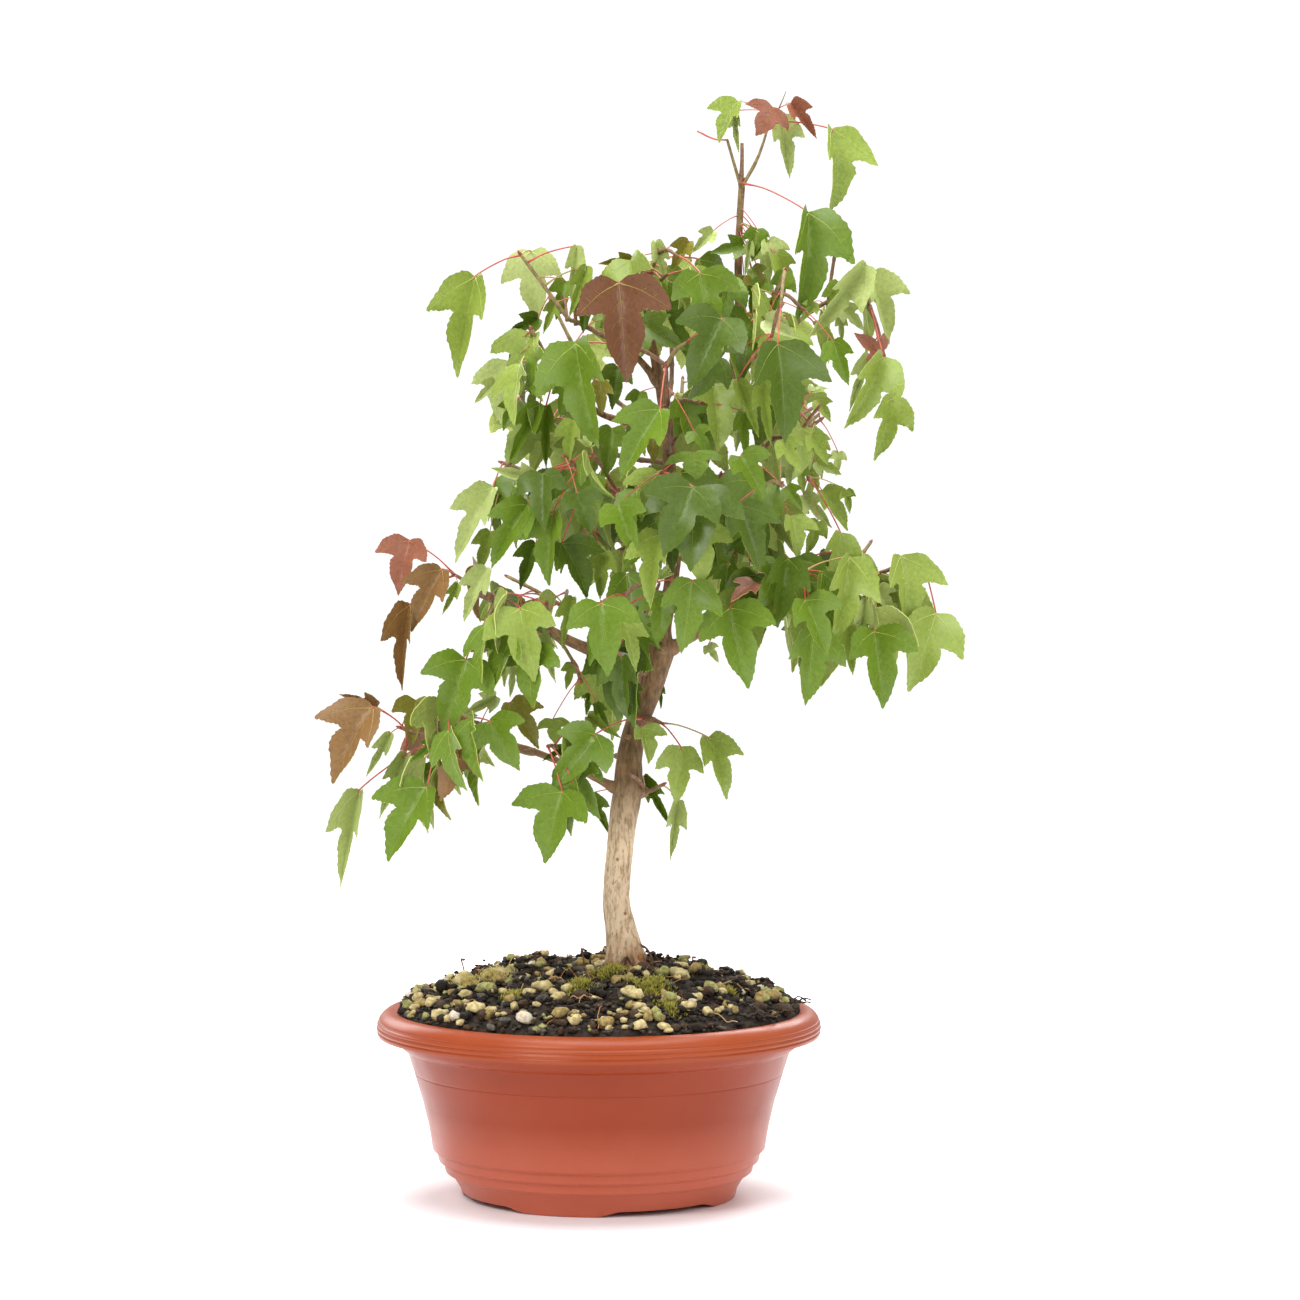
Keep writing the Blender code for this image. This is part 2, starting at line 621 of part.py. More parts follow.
def grow(mass, stems, space, limb_tree):
    """Grow one mass by rule: opposite side twigs and leaf pairs, each turned a quarter from the last.

    Returns:
        The twigs as paths with radii, and the leaves.
    """
    rng = random.Random(mass.seed)
    stem, radii = stems[mass.name]
    others = tree_of([tube(*stems[name], TWIG_SIDES) for name in stems if name != mass.name])
    twigs = [(stem, radii)]
    leaves = []
    trees = []

    def free(solid):
        tree = tree_of([solid])
        if not space.holds(mass.name, solid[0]):
            return None
        if any(tree.overlap(other) for other in (limb_tree, others, *trees)):
            return None
        return tree

    def add_leaf(node, lateral, ahead, scale):
        for _ in range(TRIES):
            if len(leaves) == mass.leaves:
                return
            blade = blade_at(node, lateral, ahead, rng, scale)
            if (blade.base - node).normalized().dot(blade.along) < SHARPEST_TURN:
                continue
            tree = free(blade.solid())
            if tree:
                trees.append(tree)
                leaves.append(blade)
                return

    def dress(path, parts, turn, scale):
        for order, part in enumerate(parts):
            place = part * (len(path) - 1)
            i = min(int(place), len(path) - 2)
            node = path[i].lerp(path[i + 1], place - i)
            ahead = (path[i + 1] - path[i]).normalized()
            level_side = ahead.cross(UP).normalized()
            lateral = Matrix.Rotation(turn + order * math.pi / 2, 3, ahead) @ level_side
            add_leaf(node, lateral, ahead, scale)
            add_leaf(node - PAIR_OFFSET * ahead, -lateral, ahead, scale)

    turn = rng.uniform(0, math.pi)
    for order in range(mass.sides):
        i = 2 + order
        last = min(i + 1, len(stem) - 1)
        ahead = (stem[last] - stem[last - 1]).normalized()
        level_side = ahead.cross(UP).normalized()
        lateral = Matrix.Rotation(turn + order * math.pi / 2, 3, ahead) @ level_side
        for side in (1, -1):
            way = (ahead * SIDE_AHEAD + side * lateral + SIDE_LIFT * UP).normalized()
            start = stem[i] - TWIG_SINK * way
            end = stem[i] + way * SIDE_TWIG * rng.uniform(*SIDE_SPREAD)
            path = [start, start.lerp(end, 0.5) + UP, end]
            root = radii[i] * SIDE_TAPER
            sizes = [root, 0.5 * (root + TWIG_TIP_RADIUS), TWIG_TIP_RADIUS]
            if not free(tube(path, sizes, TWIG_SIDES)):
                continue
            twigs.append((path, sizes))
            dress(path, SIDE_NODES, rng.uniform(0, math.pi), SIDE_SCALE)
    for more in range(PASSES):
        parts = [part - PASS_STEP * more for part in STEM_NODES]
        dress(stem, parts, turn + FIRST_TURN + PASS_TURN * more, 1.0 - PASS_SHRINK * more)
    return twigs, leaves


def fuse(name, solids, material, solver):
    """Join a mass's twigs and leaves into one closed solid, with sealed hollows filled and scraps dropped.

    Returns:
        The object, or None where the solver leaves an open or pinched surface or loses a leaf.
    """
    first, *rest = solids
    body = add_object(name, *first, material)
    collection = bpy.data.collections.new(f"{name}_parts")
    bpy.context.scene.collection.children.link(collection)
    for i, solid in enumerate(rest):
        thing = add_object(f"{name}_part_{i}", *solid)
        bpy.context.scene.collection.objects.unlink(thing)
        collection.objects.link(thing)
    union = body.modifiers.new("fuse", "BOOLEAN")
    union.operation = "UNION"
    union.operand_type = "COLLECTION"
    union.solver = solver
    union.collection = collection
    bpy.context.view_layer.update()
    apply_modifiers(body)
    drop_collection(collection)
    whole = keep_largest(body, len(solids))
    body.data.materials.clear()
    body.data.materials.append(material)
    if whole:
        return body
    bpy.data.objects.remove(body, do_unlink=True)
    return None


def keep_largest(thing, pieces):
    """Keep only the largest connected shell of a mesh.

    Returns:
        Whether that shell is closed, has no pinched vertex and holds about all of the pieces.
    """
    mesh = bmesh.new()
    mesh.from_mesh(thing.data)
    seen = set()
    shells = []
    for vertex in mesh.verts:
        if vertex in seen:
            continue
        shell = []
        waiting = [vertex]
        seen.add(vertex)
        while waiting:
            current = waiting.pop()
            shell.append(current)
            for edge in current.link_edges:
                other = edge.other_vert(current)
                if other not in seen:
                    seen.add(other)
                    waiting.append(other)
        shells.append(shell)
    shells.sort(key=len)
    loose = [vertex for shell in shells[:-1] for vertex in shell]
    whole = len(loose) < LEAST_PIECE and len(mesh.faces) > LEAST_PIECE * pieces
    bmesh.ops.delete(mesh, geom=loose, context="VERTS")
    whole = whole and all(edge.is_manifold for edge in mesh.edges)
    whole = whole and all(vertex.is_manifold for vertex in mesh.verts)
    mesh.to_mesh(thing.data)
    mesh.free()
    return whole


def build_mass(mass, twigs, leaves, material):
    """Make a mass with the first solver that joins it well, and with fewer leaves where none does."""
    for count in range(len(leaves), 0, -1):
        solids = [tube(*twig, TWIG_SIDES) for twig in twigs] + [blade.solid() for blade in leaves[:count]]
        for solver in ("EXACT", "MANIFOLD"):
            if fuse(mass.name, solids, material, solver):
                return
    raise RuntimeError(f"{mass.name} can't be joined")


def stand_on_origin():
    """Move everything so that the origin lies under the middle of the plant's box."""
    bpy.context.view_layer.update()
    corners = [vertex.co for thing in bpy.data.objects for vertex in thing.data.vertices]
    low = [min(corner[axis] for corner in corners) for axis in range(3)]
    high = [max(corner[axis] for corner in corners) for axis in range(3)]
    shift = Vector((-(low[0] + high[0]) / 2, -(low[1] + high[1]) / 2, -low[2]))
    for thing in bpy.data.objects:
        thing.data.transform(Matrix.Translation(shift))


def main():
    """Build the bowl, the soil, the limbs and the foliage."""
    clear_scene()
    terracotta = make_material("terracotta_plastic", (0.36, 0.095, 0.045), 0.42)
    earth = make_material("potting_soil", (0.03, 0.024, 0.018), 0.95)
    bark = make_material("bark", (0.33, 0.24, 0.16), 0.85)
    green = make_material("foliage_green", (0.10, 0.22, 0.03), 0.5)
    bronze = make_material("foliage_bronze", (0.28, 0.09, 0.05), 0.5)
    build_pot(terracotta)
    build_soil(earth)
    limbs, sleeves = build_limbs(bark)
    limb_tree = tree_of(sleeves.values())
    stems = {}
    for mass in MASSES:
        start, heading, radius = stem_start(mass, limbs)
        path = bend(start, heading, Vector(mass.tip))
        fall = TWIG_TIP_RADIUS - radius
        stems[mass.name] = (path, [radius + fall * i / (len(path) - 1) for i in range(len(path))])
    space = Space(MASSES, stems)
    for mass in MASSES:
        twigs, leaves = grow(mass, stems, space, limb_tree)
        build_mass(mass, twigs, leaves, bronze if mass.bronze else green)
    stand_on_origin()


main()
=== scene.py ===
"""Looks of a young trident maple bonsai in its moulded bowl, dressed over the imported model.

Lengths are millimetres from the bowl's axis in the plane of its feet, with +X to the right, +Y to the back
and +Z up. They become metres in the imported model's frame when a piece is made.
"""

from __future__ import annotations

import json
import logging
import math
import random
from collections.abc import Callable
from dataclasses import dataclass, field
from enum import Enum

import bmesh
import bpy
import numpy as np
from mathutils import Matrix, Vector, noise
from mathutils.bvhtree import BVHTree
from mathutils.geometry import delaunay_2d_cdt

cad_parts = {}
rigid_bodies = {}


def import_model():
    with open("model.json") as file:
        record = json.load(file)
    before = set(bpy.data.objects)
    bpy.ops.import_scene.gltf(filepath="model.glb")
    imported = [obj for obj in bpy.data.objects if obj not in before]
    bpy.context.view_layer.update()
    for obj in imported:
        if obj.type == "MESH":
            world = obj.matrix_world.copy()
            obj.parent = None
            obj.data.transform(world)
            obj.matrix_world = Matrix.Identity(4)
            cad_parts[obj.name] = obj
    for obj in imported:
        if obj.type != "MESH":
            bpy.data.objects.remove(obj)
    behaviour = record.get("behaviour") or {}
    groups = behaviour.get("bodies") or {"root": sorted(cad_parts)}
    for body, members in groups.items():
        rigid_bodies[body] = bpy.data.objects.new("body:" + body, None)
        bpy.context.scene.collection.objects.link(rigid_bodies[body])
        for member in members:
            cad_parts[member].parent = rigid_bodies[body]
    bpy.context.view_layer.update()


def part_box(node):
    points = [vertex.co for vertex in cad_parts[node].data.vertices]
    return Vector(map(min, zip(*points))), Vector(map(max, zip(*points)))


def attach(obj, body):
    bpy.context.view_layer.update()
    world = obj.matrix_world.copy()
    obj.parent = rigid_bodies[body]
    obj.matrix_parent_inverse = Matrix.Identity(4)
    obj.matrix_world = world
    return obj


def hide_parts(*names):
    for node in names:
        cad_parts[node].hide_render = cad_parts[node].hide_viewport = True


MM = 0.001
UP = Vector((0, 0, 1))
CLEARANCE = 0.3
ROOT = "root"

log = logging.getLogger("trident_maple")

Socket = bpy.types.NodeSocket
Pair = tuple[float, float]
Triple = tuple[float, float, float]
Colour = tuple[float, float, float]
Profile = tuple[Pair, ...]
Rows = tuple[tuple[float, float, float, float], ...]
Solid = tuple[list[Vector], list[tuple[int, ...]]]
Limb = tuple[list[Vector], list[float]]


class Sketch:
    """A material's node tree, with short ways to add the nodes that the finishes share."""

    def __init__(self, name: str) -> None:
        """Start a material.

        Args:
            name: The material's name.
        """
        self.material = bpy.data.materials.new(name)
        self.material.use_nodes = True
        self.nodes = self.material.node_tree.nodes
        self.links = self.material.node_tree.links
        self.shader = self.nodes["Principled BSDF"]
        self.place = self.nodes.new("ShaderNodeTexCoord").outputs["Object"]

    def stretched(self, scale: Triple) -> Socket:
        """Return object coordinates scaled apart along each axis.

        Args:
            scale: The factor for each axis.

        Returns:
            The scaled vector.
        """
        mapping = self.nodes.new("ShaderNodeMapping")
        mapping.inputs["Scale"].default_value = scale
        self.links.new(self.place, mapping.inputs["Vector"])
        return mapping.outputs["Vector"]

    def noise(
        self, scale: float, detail: float = 3.0, place: Socket | None = None, rough: float = 0.5
    ) -> Socket:
        """Return a noise pattern.

        Args:
            scale: Features per metre, or per unit of the given place.
            detail: Octaves.
            place: Coordinates, the object's own if left out.
            rough: How strong the fine octaves are.

        Returns:
            The pattern's value, about 0.5 on average.
        """
        node = self.nodes.new("ShaderNodeTexNoise")
        node.inputs["Scale"].default_value = scale
        node.inputs["Detail"].default_value = detail
        node.inputs["Roughness"].default_value = rough
        self.links.new(place or self.place, node.inputs["Vector"])
        return node.outputs["Fac"]

    def ramp(self, value: Socket, stops: tuple[tuple[float, Colour], ...]) -> Socket:
        """Return a colour that follows a value.

        Args:
            value: The value that is looked up.
            stops: Places from 0 to 1 with their colours.

        Returns:
            The colour.
        """
        node = self.nodes.new("ShaderNodeValToRGB")
        elements = node.color_ramp.elements
        while len(elements) < len(stops):
            elements.new(0.5)
        for element, (place, colour) in zip(elements, stops):
            element.position = place
            element.color = (*colour, 1.0)
        self.links.new(value, node.inputs["Fac"])
        return node.outputs["Color"]

    def between(
        self, value: Socket, low: float, high: float, out_low: float = 0.0, out_high: float = 1.0
    ) -> Socket:
        """Return a value stretched from one range to another and clamped.

        Args:
            value: The value that is stretched.
            low: Start of its range.
            high: End of its range.
            out_low: What the start becomes.
            out_high: What the end becomes.

        Returns:
            The new value.
        """
        node = self.nodes.new("ShaderNodeMapRange")
        ends = {"From Min": low, "From Max": high, "To Min": out_low, "To Max": out_high}
        for socket, number in ends.items():
            node.inputs[socket].default_value = number
        self.links.new(value, node.inputs["Value"])
        return node.outputs["Result"]

    def mix(self, part: Socket | float, first: Socket, second: Socket) -> Socket:
        """Return a mix of two colours.

        Args:
            part: How much of the second.
            first: A colour.
            second: The other colour.

        Returns:
            The mixed colour.
        """
        node = self.nodes.new("ShaderNodeMix")
        node.data_type = "RGBA"
        if isinstance(part, float):
            node.inputs[0].default_value = part
        else:
            self.links.new(part, node.inputs[0])
        self.links.new(first, node.inputs[6])
        self.links.new(second, node.inputs[7])
        return node.outputs[2]

    def height(self, axis: str = "Z") -> Socket:
        """Return one object coordinate, in metres.

        Args:
            axis: X, Y or Z.

        Returns:
            The coordinate.
        """
        node = self.nodes.new("ShaderNodeSeparateXYZ")
        self.links.new(self.place, node.inputs["Vector"])
        return node.outputs[axis]

    def colour(self, colour: Socket | Colour) -> None:
        """Set the base colour.

        Args:
            colour: A plain colour or a pattern.
        """
        if isinstance(colour, tuple):
            self.shader.inputs["Base Color"].default_value = (*colour, 1.0)
        else:
            self.links.new(colour, self.shader.inputs["Base Color"])

    def roughness(self, value: Socket | float) -> None:
        """Set the roughness.

        Args:
            value: A number or a pattern.
        """
        if isinstance(value, float):
            self.shader.inputs["Roughness"].default_value = value
        else:
            self.links.new(value, self.shader.inputs["Roughness"])

    def bump(self, value: Socket, depth: float, strength: float = 1.0) -> None:
        """Add relief.

        Args:
            value: The relief's pattern.
            depth: Its depth in metres.
            strength: How much of it shows.
        """
        node = self.nodes.new("ShaderNodeBump")
        node.inputs["Distance"].default_value = depth
        node.inputs["Strength"].default_value = strength
        self.links.new(value, node.inputs["Height"])
        self.links.new(node.outputs["Normal"], self.shader.inputs["Normal"])

    def gloss(self, specular: float = 0.5, coat: float = 0.0, coat_roughness: float = 0.2) -> None:
        """Set the plain gloss sockets.

        Args:
            specular: The specular level.
            coat: The weight of a clear coat.
            coat_roughness: The coat's roughness.
        """
        self.shader.inputs["Specular IOR Level"].default_value = specular
        self.shader.inputs["Coat Weight"].default_value = coat
        self.shader.inputs["Coat Roughness"].default_value = coat_roughness


@dataclass(frozen=True)
class Terracotta:
    """Satin moulded plastic in terracotta brown, with faint flow marks and dust, and painted light: the lower
    wall is coloured much lighter for the bounce light off the floor, and the rim lighter for the top light.
    """

    body: Colour = (0.242, 0.028, 0.003)
    dusty: Colour = (0.258, 0.035, 0.007)
    # Painted bounce light: the two foot colours, much lighter than the body's, stand for the light thrown up
    # from the floor onto the lower wall, mottled like the dust.
    foot: Colour = (0.465, 0.104, 0.054)
    bounce_lit_foot_dusty: Colour = (0.490, 0.118, 0.066)
    bounce_light_range: Pair = (0.010, 0.042)
    # Painted top light: the two rim colours, lighter than the body's, stand for the light falling on the
    # rim's top, mottled like the dust.
    rim: Colour = (0.290, 0.045, 0.008)
    top_lit_rim_dusty: Colour = (0.315, 0.058, 0.014)
    top_light_rim_range: Pair = (0.068, 0.076)

    def make(self) -> bpy.types.Material:
        """Make the finish.

        Returns:
            The material.
        """
        sketch = Sketch("terracotta_plastic_satin")
        cloud = sketch.noise(28.0, 4.0)
        wall = sketch.ramp(cloud, ((0.35, self.body), (0.75, self.dusty)))
        foot = sketch.ramp(cloud, ((0.35, self.foot), (0.75, self.bounce_lit_foot_dusty)))
        rim = sketch.ramp(cloud, ((0.35, self.rim), (0.75, self.top_lit_rim_dusty)))
        # Painted bounce light: the wall turns to the lighter foot colours towards the bottom.
        lower = sketch.mix(sketch.between(sketch.height(), *self.bounce_light_range), foot, wall)
        # Painted top light: from the collar up, the colour turns to the lighter rim colours.
        sketch.colour(sketch.mix(sketch.between(sketch.height(), *self.top_light_rim_range), lower, rim))
        fine = sketch.noise(900.0, 4.0)
        sketch.roughness(sketch.between(sketch.noise(60.0, 5.0), 0.3, 0.7, 0.3, 0.42))
        sketch.gloss(0.23, 0.08, 0.22)
        sketch.bump(fine, 0.00008, 0.5)
        return sketch.material


@dataclass(frozen=True)
class Bark:
    """Thin bark: pale with fine upright flecks, redder and darker higher up."""

    name: str
    pale: Colour = (0.76, 0.585, 0.395)
    tan: Colour = (0.34, 0.20, 0.095)
    fleck: Colour = (0.13, 0.075, 0.04)
    crack: Colour = (0.19, 0.11, 0.06)
    scar: Colour = (0.42, 0.21, 0.095)
    scar_turn: Pair = (0.106, 0.120)
    high: Colour = (0.34, 0.185, 0.085)
    turn: Pair = (0.205, 0.31)
    waist: Colour = (0.088, 0.050, 0.022)
    waist_pale: Colour = (0.250, 0.148, 0.070)
    waist_turn: Pair = (0.158, 0.188)

    def make(self) -> bpy.types.Material:
        """Make the finish.

        Returns:
            The material.
        """
        sketch = Sketch(self.name)
        upright = sketch.stretched((1.0, 1.0, 0.28))
        mottle = sketch.noise(520.0, 5.0, upright, 0.65)
        broad = sketch.noise(75.0, 4.0, upright)
        low = sketch.ramp(mottle, ((0.38, self.tan), (0.54, self.pale)))
        worn = sketch.ramp(broad, ((0.35, self.tan), (0.6, self.pale)))
        clean = sketch.mix(0.25, low, worn)
        patches = sketch.between(sketch.noise(95.0, 3.0), 0.40, 0.52, 0.25, 1.0)
        scarred = sketch.mix(patches, clean, sketch.ramp(mottle, ((0.36, self.fleck), (0.6, self.scar))))
        base = sketch.mix(sketch.between(sketch.height(), *self.scar_turn), scarred, clean)
        upper = sketch.ramp(mottle, ((0.38, self.fleck), (0.62, self.high)))
        part = sketch.between(sketch.height(), self.turn[0], self.turn[1])
        waist = sketch.ramp(mottle, ((0.36, self.waist), (0.62, self.waist_pale)))
        bent = sketch.mix(sketch.between(sketch.height(), *self.waist_turn), base, waist)
        climbed = sketch.mix(part, bent, upper)
        specks = sketch.between(sketch.noise(1400.0, 2.0, upright), 0.62, 0.70)
        dark = sketch.ramp(mottle, ((0.4, self.fleck), (0.6, self.crack)))
        sketch.colour(sketch.mix(sketch.between(specks, 0.0, 1.0, 0.0, 0.65), climbed, dark))
        sketch.roughness(sketch.between(mottle, 0.3, 0.7, 0.6, 0.85))
        sketch.gloss(0.3)
        sketch.bump(sketch.noise(800.0, 5.0, upright, 0.7), 0.0005, 0.8)
        return sketch.material


@dataclass(frozen=True)
class Plain:
    """A matt or satin finish with a gentle mottle between two near colours."""

    name: str
    first: Colour
    second: Colour
    grain: float = 300.0
    rough: float = 0.7
    relief: float = 0.0003
    specular: float = 0.4

    def make(self) -> bpy.types.Material:
        """Make the finish.

        Returns:
            The material.
        """
        sketch = Sketch(self.name)
        mottle = sketch.noise(self.grain, 4.0)
        sketch.colour(sketch.ramp(mottle, ((0.38, self.first), (0.62, self.second))))
        sketch.roughness(sketch.between(mottle, 0.3, 0.7, self.rough - 0.06, self.rough + 0.06))
        sketch.gloss(self.specular)
        if self.relief:
            sketch.bump(sketch.noise(4.0 * self.grain, 3.0), self.relief, 0.7)
        return sketch.material


def shades(
    colours: dict[str, tuple[Colour, Colour]],
    grain: float,
    rough: float,
    relief: float,
    specular: float = 0.4,
) -> list[bpy.types.Material]:
    """Return the materials of one finish in several shades.

    Args:
        colours: The two near colours of each shade, by the material's name.
        grain: The mottle's features per metre.
        rough: The mean roughness.
        relief: The depth of the relief in metres.
        specular: The specular level.

    Returns:
        The materials, in the order of the colours.
    """
    return [Plain(name, *pair, grain, rough, relief, specular).make() for name, pair in colours.items()]


class Tint(Enum):
    """The colours of the leaves, partly painted light and shade: besides each leaf's own colour, the paler
    tints also stand for light and backlight falling on a leaf, and the deeper ones for shade.
    """

    DEEP = "deep"
    GREEN = "green"
    FRESH = "fresh"
    PALE = "pale"
    OLIVE = "olive"
    BRONZE = "bronze"
    RUST = "rust"
    AMBER = "amber"


@dataclass(frozen=True)
class LeafFinish:
    """The three plain colours of one tint's leaves: face, back and veins."""

    face: Colour
    back: Colour
    vein: Colour
    rough: float = 0.36
    back_rough: float = 0.6
    vein_rough: float = 0.5

    def make(self, tint: Tint) -> list[bpy.types.Material]:
        """Return the materials of the face, the back and the veins.

        Args:
            tint: Whose leaves they are.

        Returns:
            The three materials, in the order of the leaf mesh's slots.
        """
        made = []
        sides = (
            ("face", self.face, self.rough),
            ("back", self.back, self.back_rough),
            ("vein", self.vein, self.vein_rough),
        )
        for side, colour, rough in sides:
            sketch = Sketch(f"leaf_{tint.value}_{side}")
            sketch.colour(colour)
            sketch.gloss(0.42 if side == "face" else 0.25)
            if side == "vein":
                sketch.roughness(rough)
            else:
                net = sketch.noise(650.0, 2.0, rough=0.55)
                darker = tuple(0.86 * part for part in colour)
                lighter = tuple(min(0.9, 1.13 * part) for part in colour)
                sketch.colour(sketch.ramp(net, ((0.32, darker), (0.52, colour), (0.74, lighter))))
                sketch.roughness(sketch.between(net, 0.3, 0.7, rough - 0.05, rough + 0.12))
                sketch.bump(net, 0.00025, 0.25)
            made.append(sketch.material)
        return made


LEAF_FINISHES = {
    Tint.DEEP: LeafFinish((0.068, 0.114, 0.006), (0.17, 0.23, 0.045), (0.22, 0.30, 0.05)),
    Tint.GREEN: LeafFinish((0.124, 0.203, 0.013), (0.26, 0.32, 0.07), (0.39, 0.45, 0.09)),
    Tint.FRESH: LeafFinish((0.240, 0.318, 0.050), (0.36, 0.43, 0.11), (0.52, 0.57, 0.17)),
    Tint.PALE: LeafFinish((0.39, 0.46, 0.155), (0.44, 0.51, 0.19), (0.62, 0.66, 0.30)),
    Tint.OLIVE: LeafFinish((0.205, 0.190, 0.024), (0.30, 0.28, 0.07), (0.46, 0.38, 0.09)),
    Tint.BRONZE: LeafFinish((0.155, 0.066, 0.030), (0.26, 0.135, 0.06), (0.38, 0.32, 0.07), 0.32),
    Tint.RUST: LeafFinish((0.265, 0.094, 0.052), (0.36, 0.19, 0.10), (0.46, 0.30, 0.11)),
    Tint.AMBER: LeafFinish((0.215, 0.112, 0.036), (0.33, 0.22, 0.09), (0.46, 0.36, 0.09)),
}


class Draft:
    """Points and faces of one piece, gathered in millimetres from the bowl's axis."""

    axis = Vector((0, 0, 0))

    def __init__(self) -> None:
        """Start with nothing."""
        self.points: list[np.ndarray] = []
        self.faces: list[list[int]] = []
        self.slots: list[int] = []
        self.count = 0

    def add(self, points: np.ndarray, faces: list, slot: int = 0) -> None:
        """Add a part.

        Args:
            points: Its vertices, one row each.
            faces: Its faces, by index into these points.
            slot: The material slot of its faces.
        """
        start = self.count
        self.points.append(np.asarray(points, dtype=float).reshape(-1, 3))
        self.faces.extend([start + index for index in face] for face in faces)
        self.slots.extend([slot] * len(faces))
        self.count += len(self.points[-1])

    def make(
        self, name: str, materials: list[bpy.types.Material], slot: str, sharp: float | None = None
    ) -> bpy.types.Object:
        """Make the piece, which rides on the plant's one body.

        Args:
            name: The piece's name.
            materials: Its material slots.
            slot: The record's slot of its finish; not used.
            sharp: The angle in degrees over which an edge stays sharp, or none.

        Returns:
            The object.
        """
        mesh = bpy.data.meshes.new(name)
        points = np.vstack(self.points) * MM + np.array(Draft.axis)
        mesh.from_pydata(points.tolist(), [], self.faces)
        for material in materials:
            mesh.materials.append(material)
        mesh.polygons.foreach_set("material_index", self.slots)
        mesh.polygons.foreach_set("use_smooth", [True] * len(mesh.polygons))
        mesh.update()
        if sharp is not None:
            mesh.set_sharp_from_angle(angle=math.radians(sharp))
        piece = bpy.data.objects.new(name, mesh)
        bpy.context.scene.collection.objects.link(piece)
        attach(piece, ROOT)
        log.info("%s: %d faces", name, len(self.faces))
        return piece


def smooth_run(points: list[Vector], steps: int) -> list[Vector]:
    """Return a smooth run of points through the given ones.

    Args:
        points: The points that it goes through.
        steps: How many steps it takes between each two.

    Returns:
        The points of the run.
    """
    ends = [2 * points[0] - points[1], *points, 2 * points[-1] - points[-2]]
    run = []
    for i in range(1, len(ends) - 2):
        a, b, c, d = ends[i - 1 : i + 3]
        for step in range(steps):
            t = step / steps
            squared = (2 * a - 5 * b + 4 * c - d) * t**2
            cubed = (3 * b - 3 * c + d - a) * t**3
            run.append(0.5 * (2 * b + (c - a) * t + squared + cubed))
    return [*run, points[-1].copy()]


def polar(radius: float, turn: float, height: float = 0.0) -> Vector:
    """Return the point at a radius, an azimuth in radians and a height."""
    return Vector((radius * math.cos(turn), radius * math.sin(turn), height))


def fade(first: float, last: float, steps: int) -> list[float]:
    """Return numbers that go evenly from the first to the last in so many steps."""
    return [first + (last - first) * i / steps for i in range(steps + 1)]


def square_to(way: Vector, along: Vector) -> Vector:
    """Return the direction nearest to a way that is square to another."""
    return (way - along * way.dot(along)).normalized()


def sideways(ahead: Vector, turn: float) -> Vector:
    """Return a direction square to the way ahead, turned about it from the level one."""
    return Matrix.Rotation(turn, 3, ahead) @ ahead.cross(UP).normalized()


def ring_faces(rings: int, sides: int) -> list[tuple[int, ...]]:
    """Return the faces that join rings of points, one after another, and close the first ring.

    Args:
        rings: The number of rings.
        sides: The number of points in each.

    Returns:
        The faces.
    """
    faces = []
    for low in range(0, (rings - 1) * sides, sides):
        for side in range(sides):
            after = (side + 1) % sides
            faces.append((low + side, low + after, low + sides + after, low + sides + side))
    faces.append(tuple(range(sides - 1, -1, -1)))
    return faces


def tube(path: list[Vector], radii: list[float], sides: int, level_foot: bool = False) -> Solid:
    """Return a closed tube along a path.

    Args:
        path: The middle line.
        radii: The radius at each of its points.
        sides: The number of sides.
        level_foot: Whether the first ring lies level.

    Returns:
        Its vertices and faces.
    """
    vertices = []
    across = None
    for i, centre in enumerate(path):
        ahead = path[min(i + 1, len(path) - 1)] - path[max(i - 1, 0)]
        along = UP if level_foot and i == 0 else ahead.normalized()
        if across is None:
            across = along.orthogonal()
        across = square_to(across, along)
        beside = along.cross(across)
        for side in range(sides):
            angle = 2 * math.pi * side / sides
            vertices.append(centre + radii[i] * (math.cos(angle) * across + math.sin(angle) * beside))
    faces = ring_faces(len(path), sides)
    faces.append(tuple(range(len(vertices) - sides, len(vertices))))
    return vertices, faces


def add_tube(draft: Draft, path: list[Vector], radii: list[float], sides: int, slot: int = 0) -> None:
    """Add a closed tube to a draft.

    Args:
        draft: What it is added to.
        path: Its middle line.
        radii: The radius at each point.
        sides: The number of sides.
        slot: Its material slot.
    """
    vertices, faces = tube(path, radii, sides)
    draft.add(np.array([tuple(v) for v in vertices]), faces, slot)


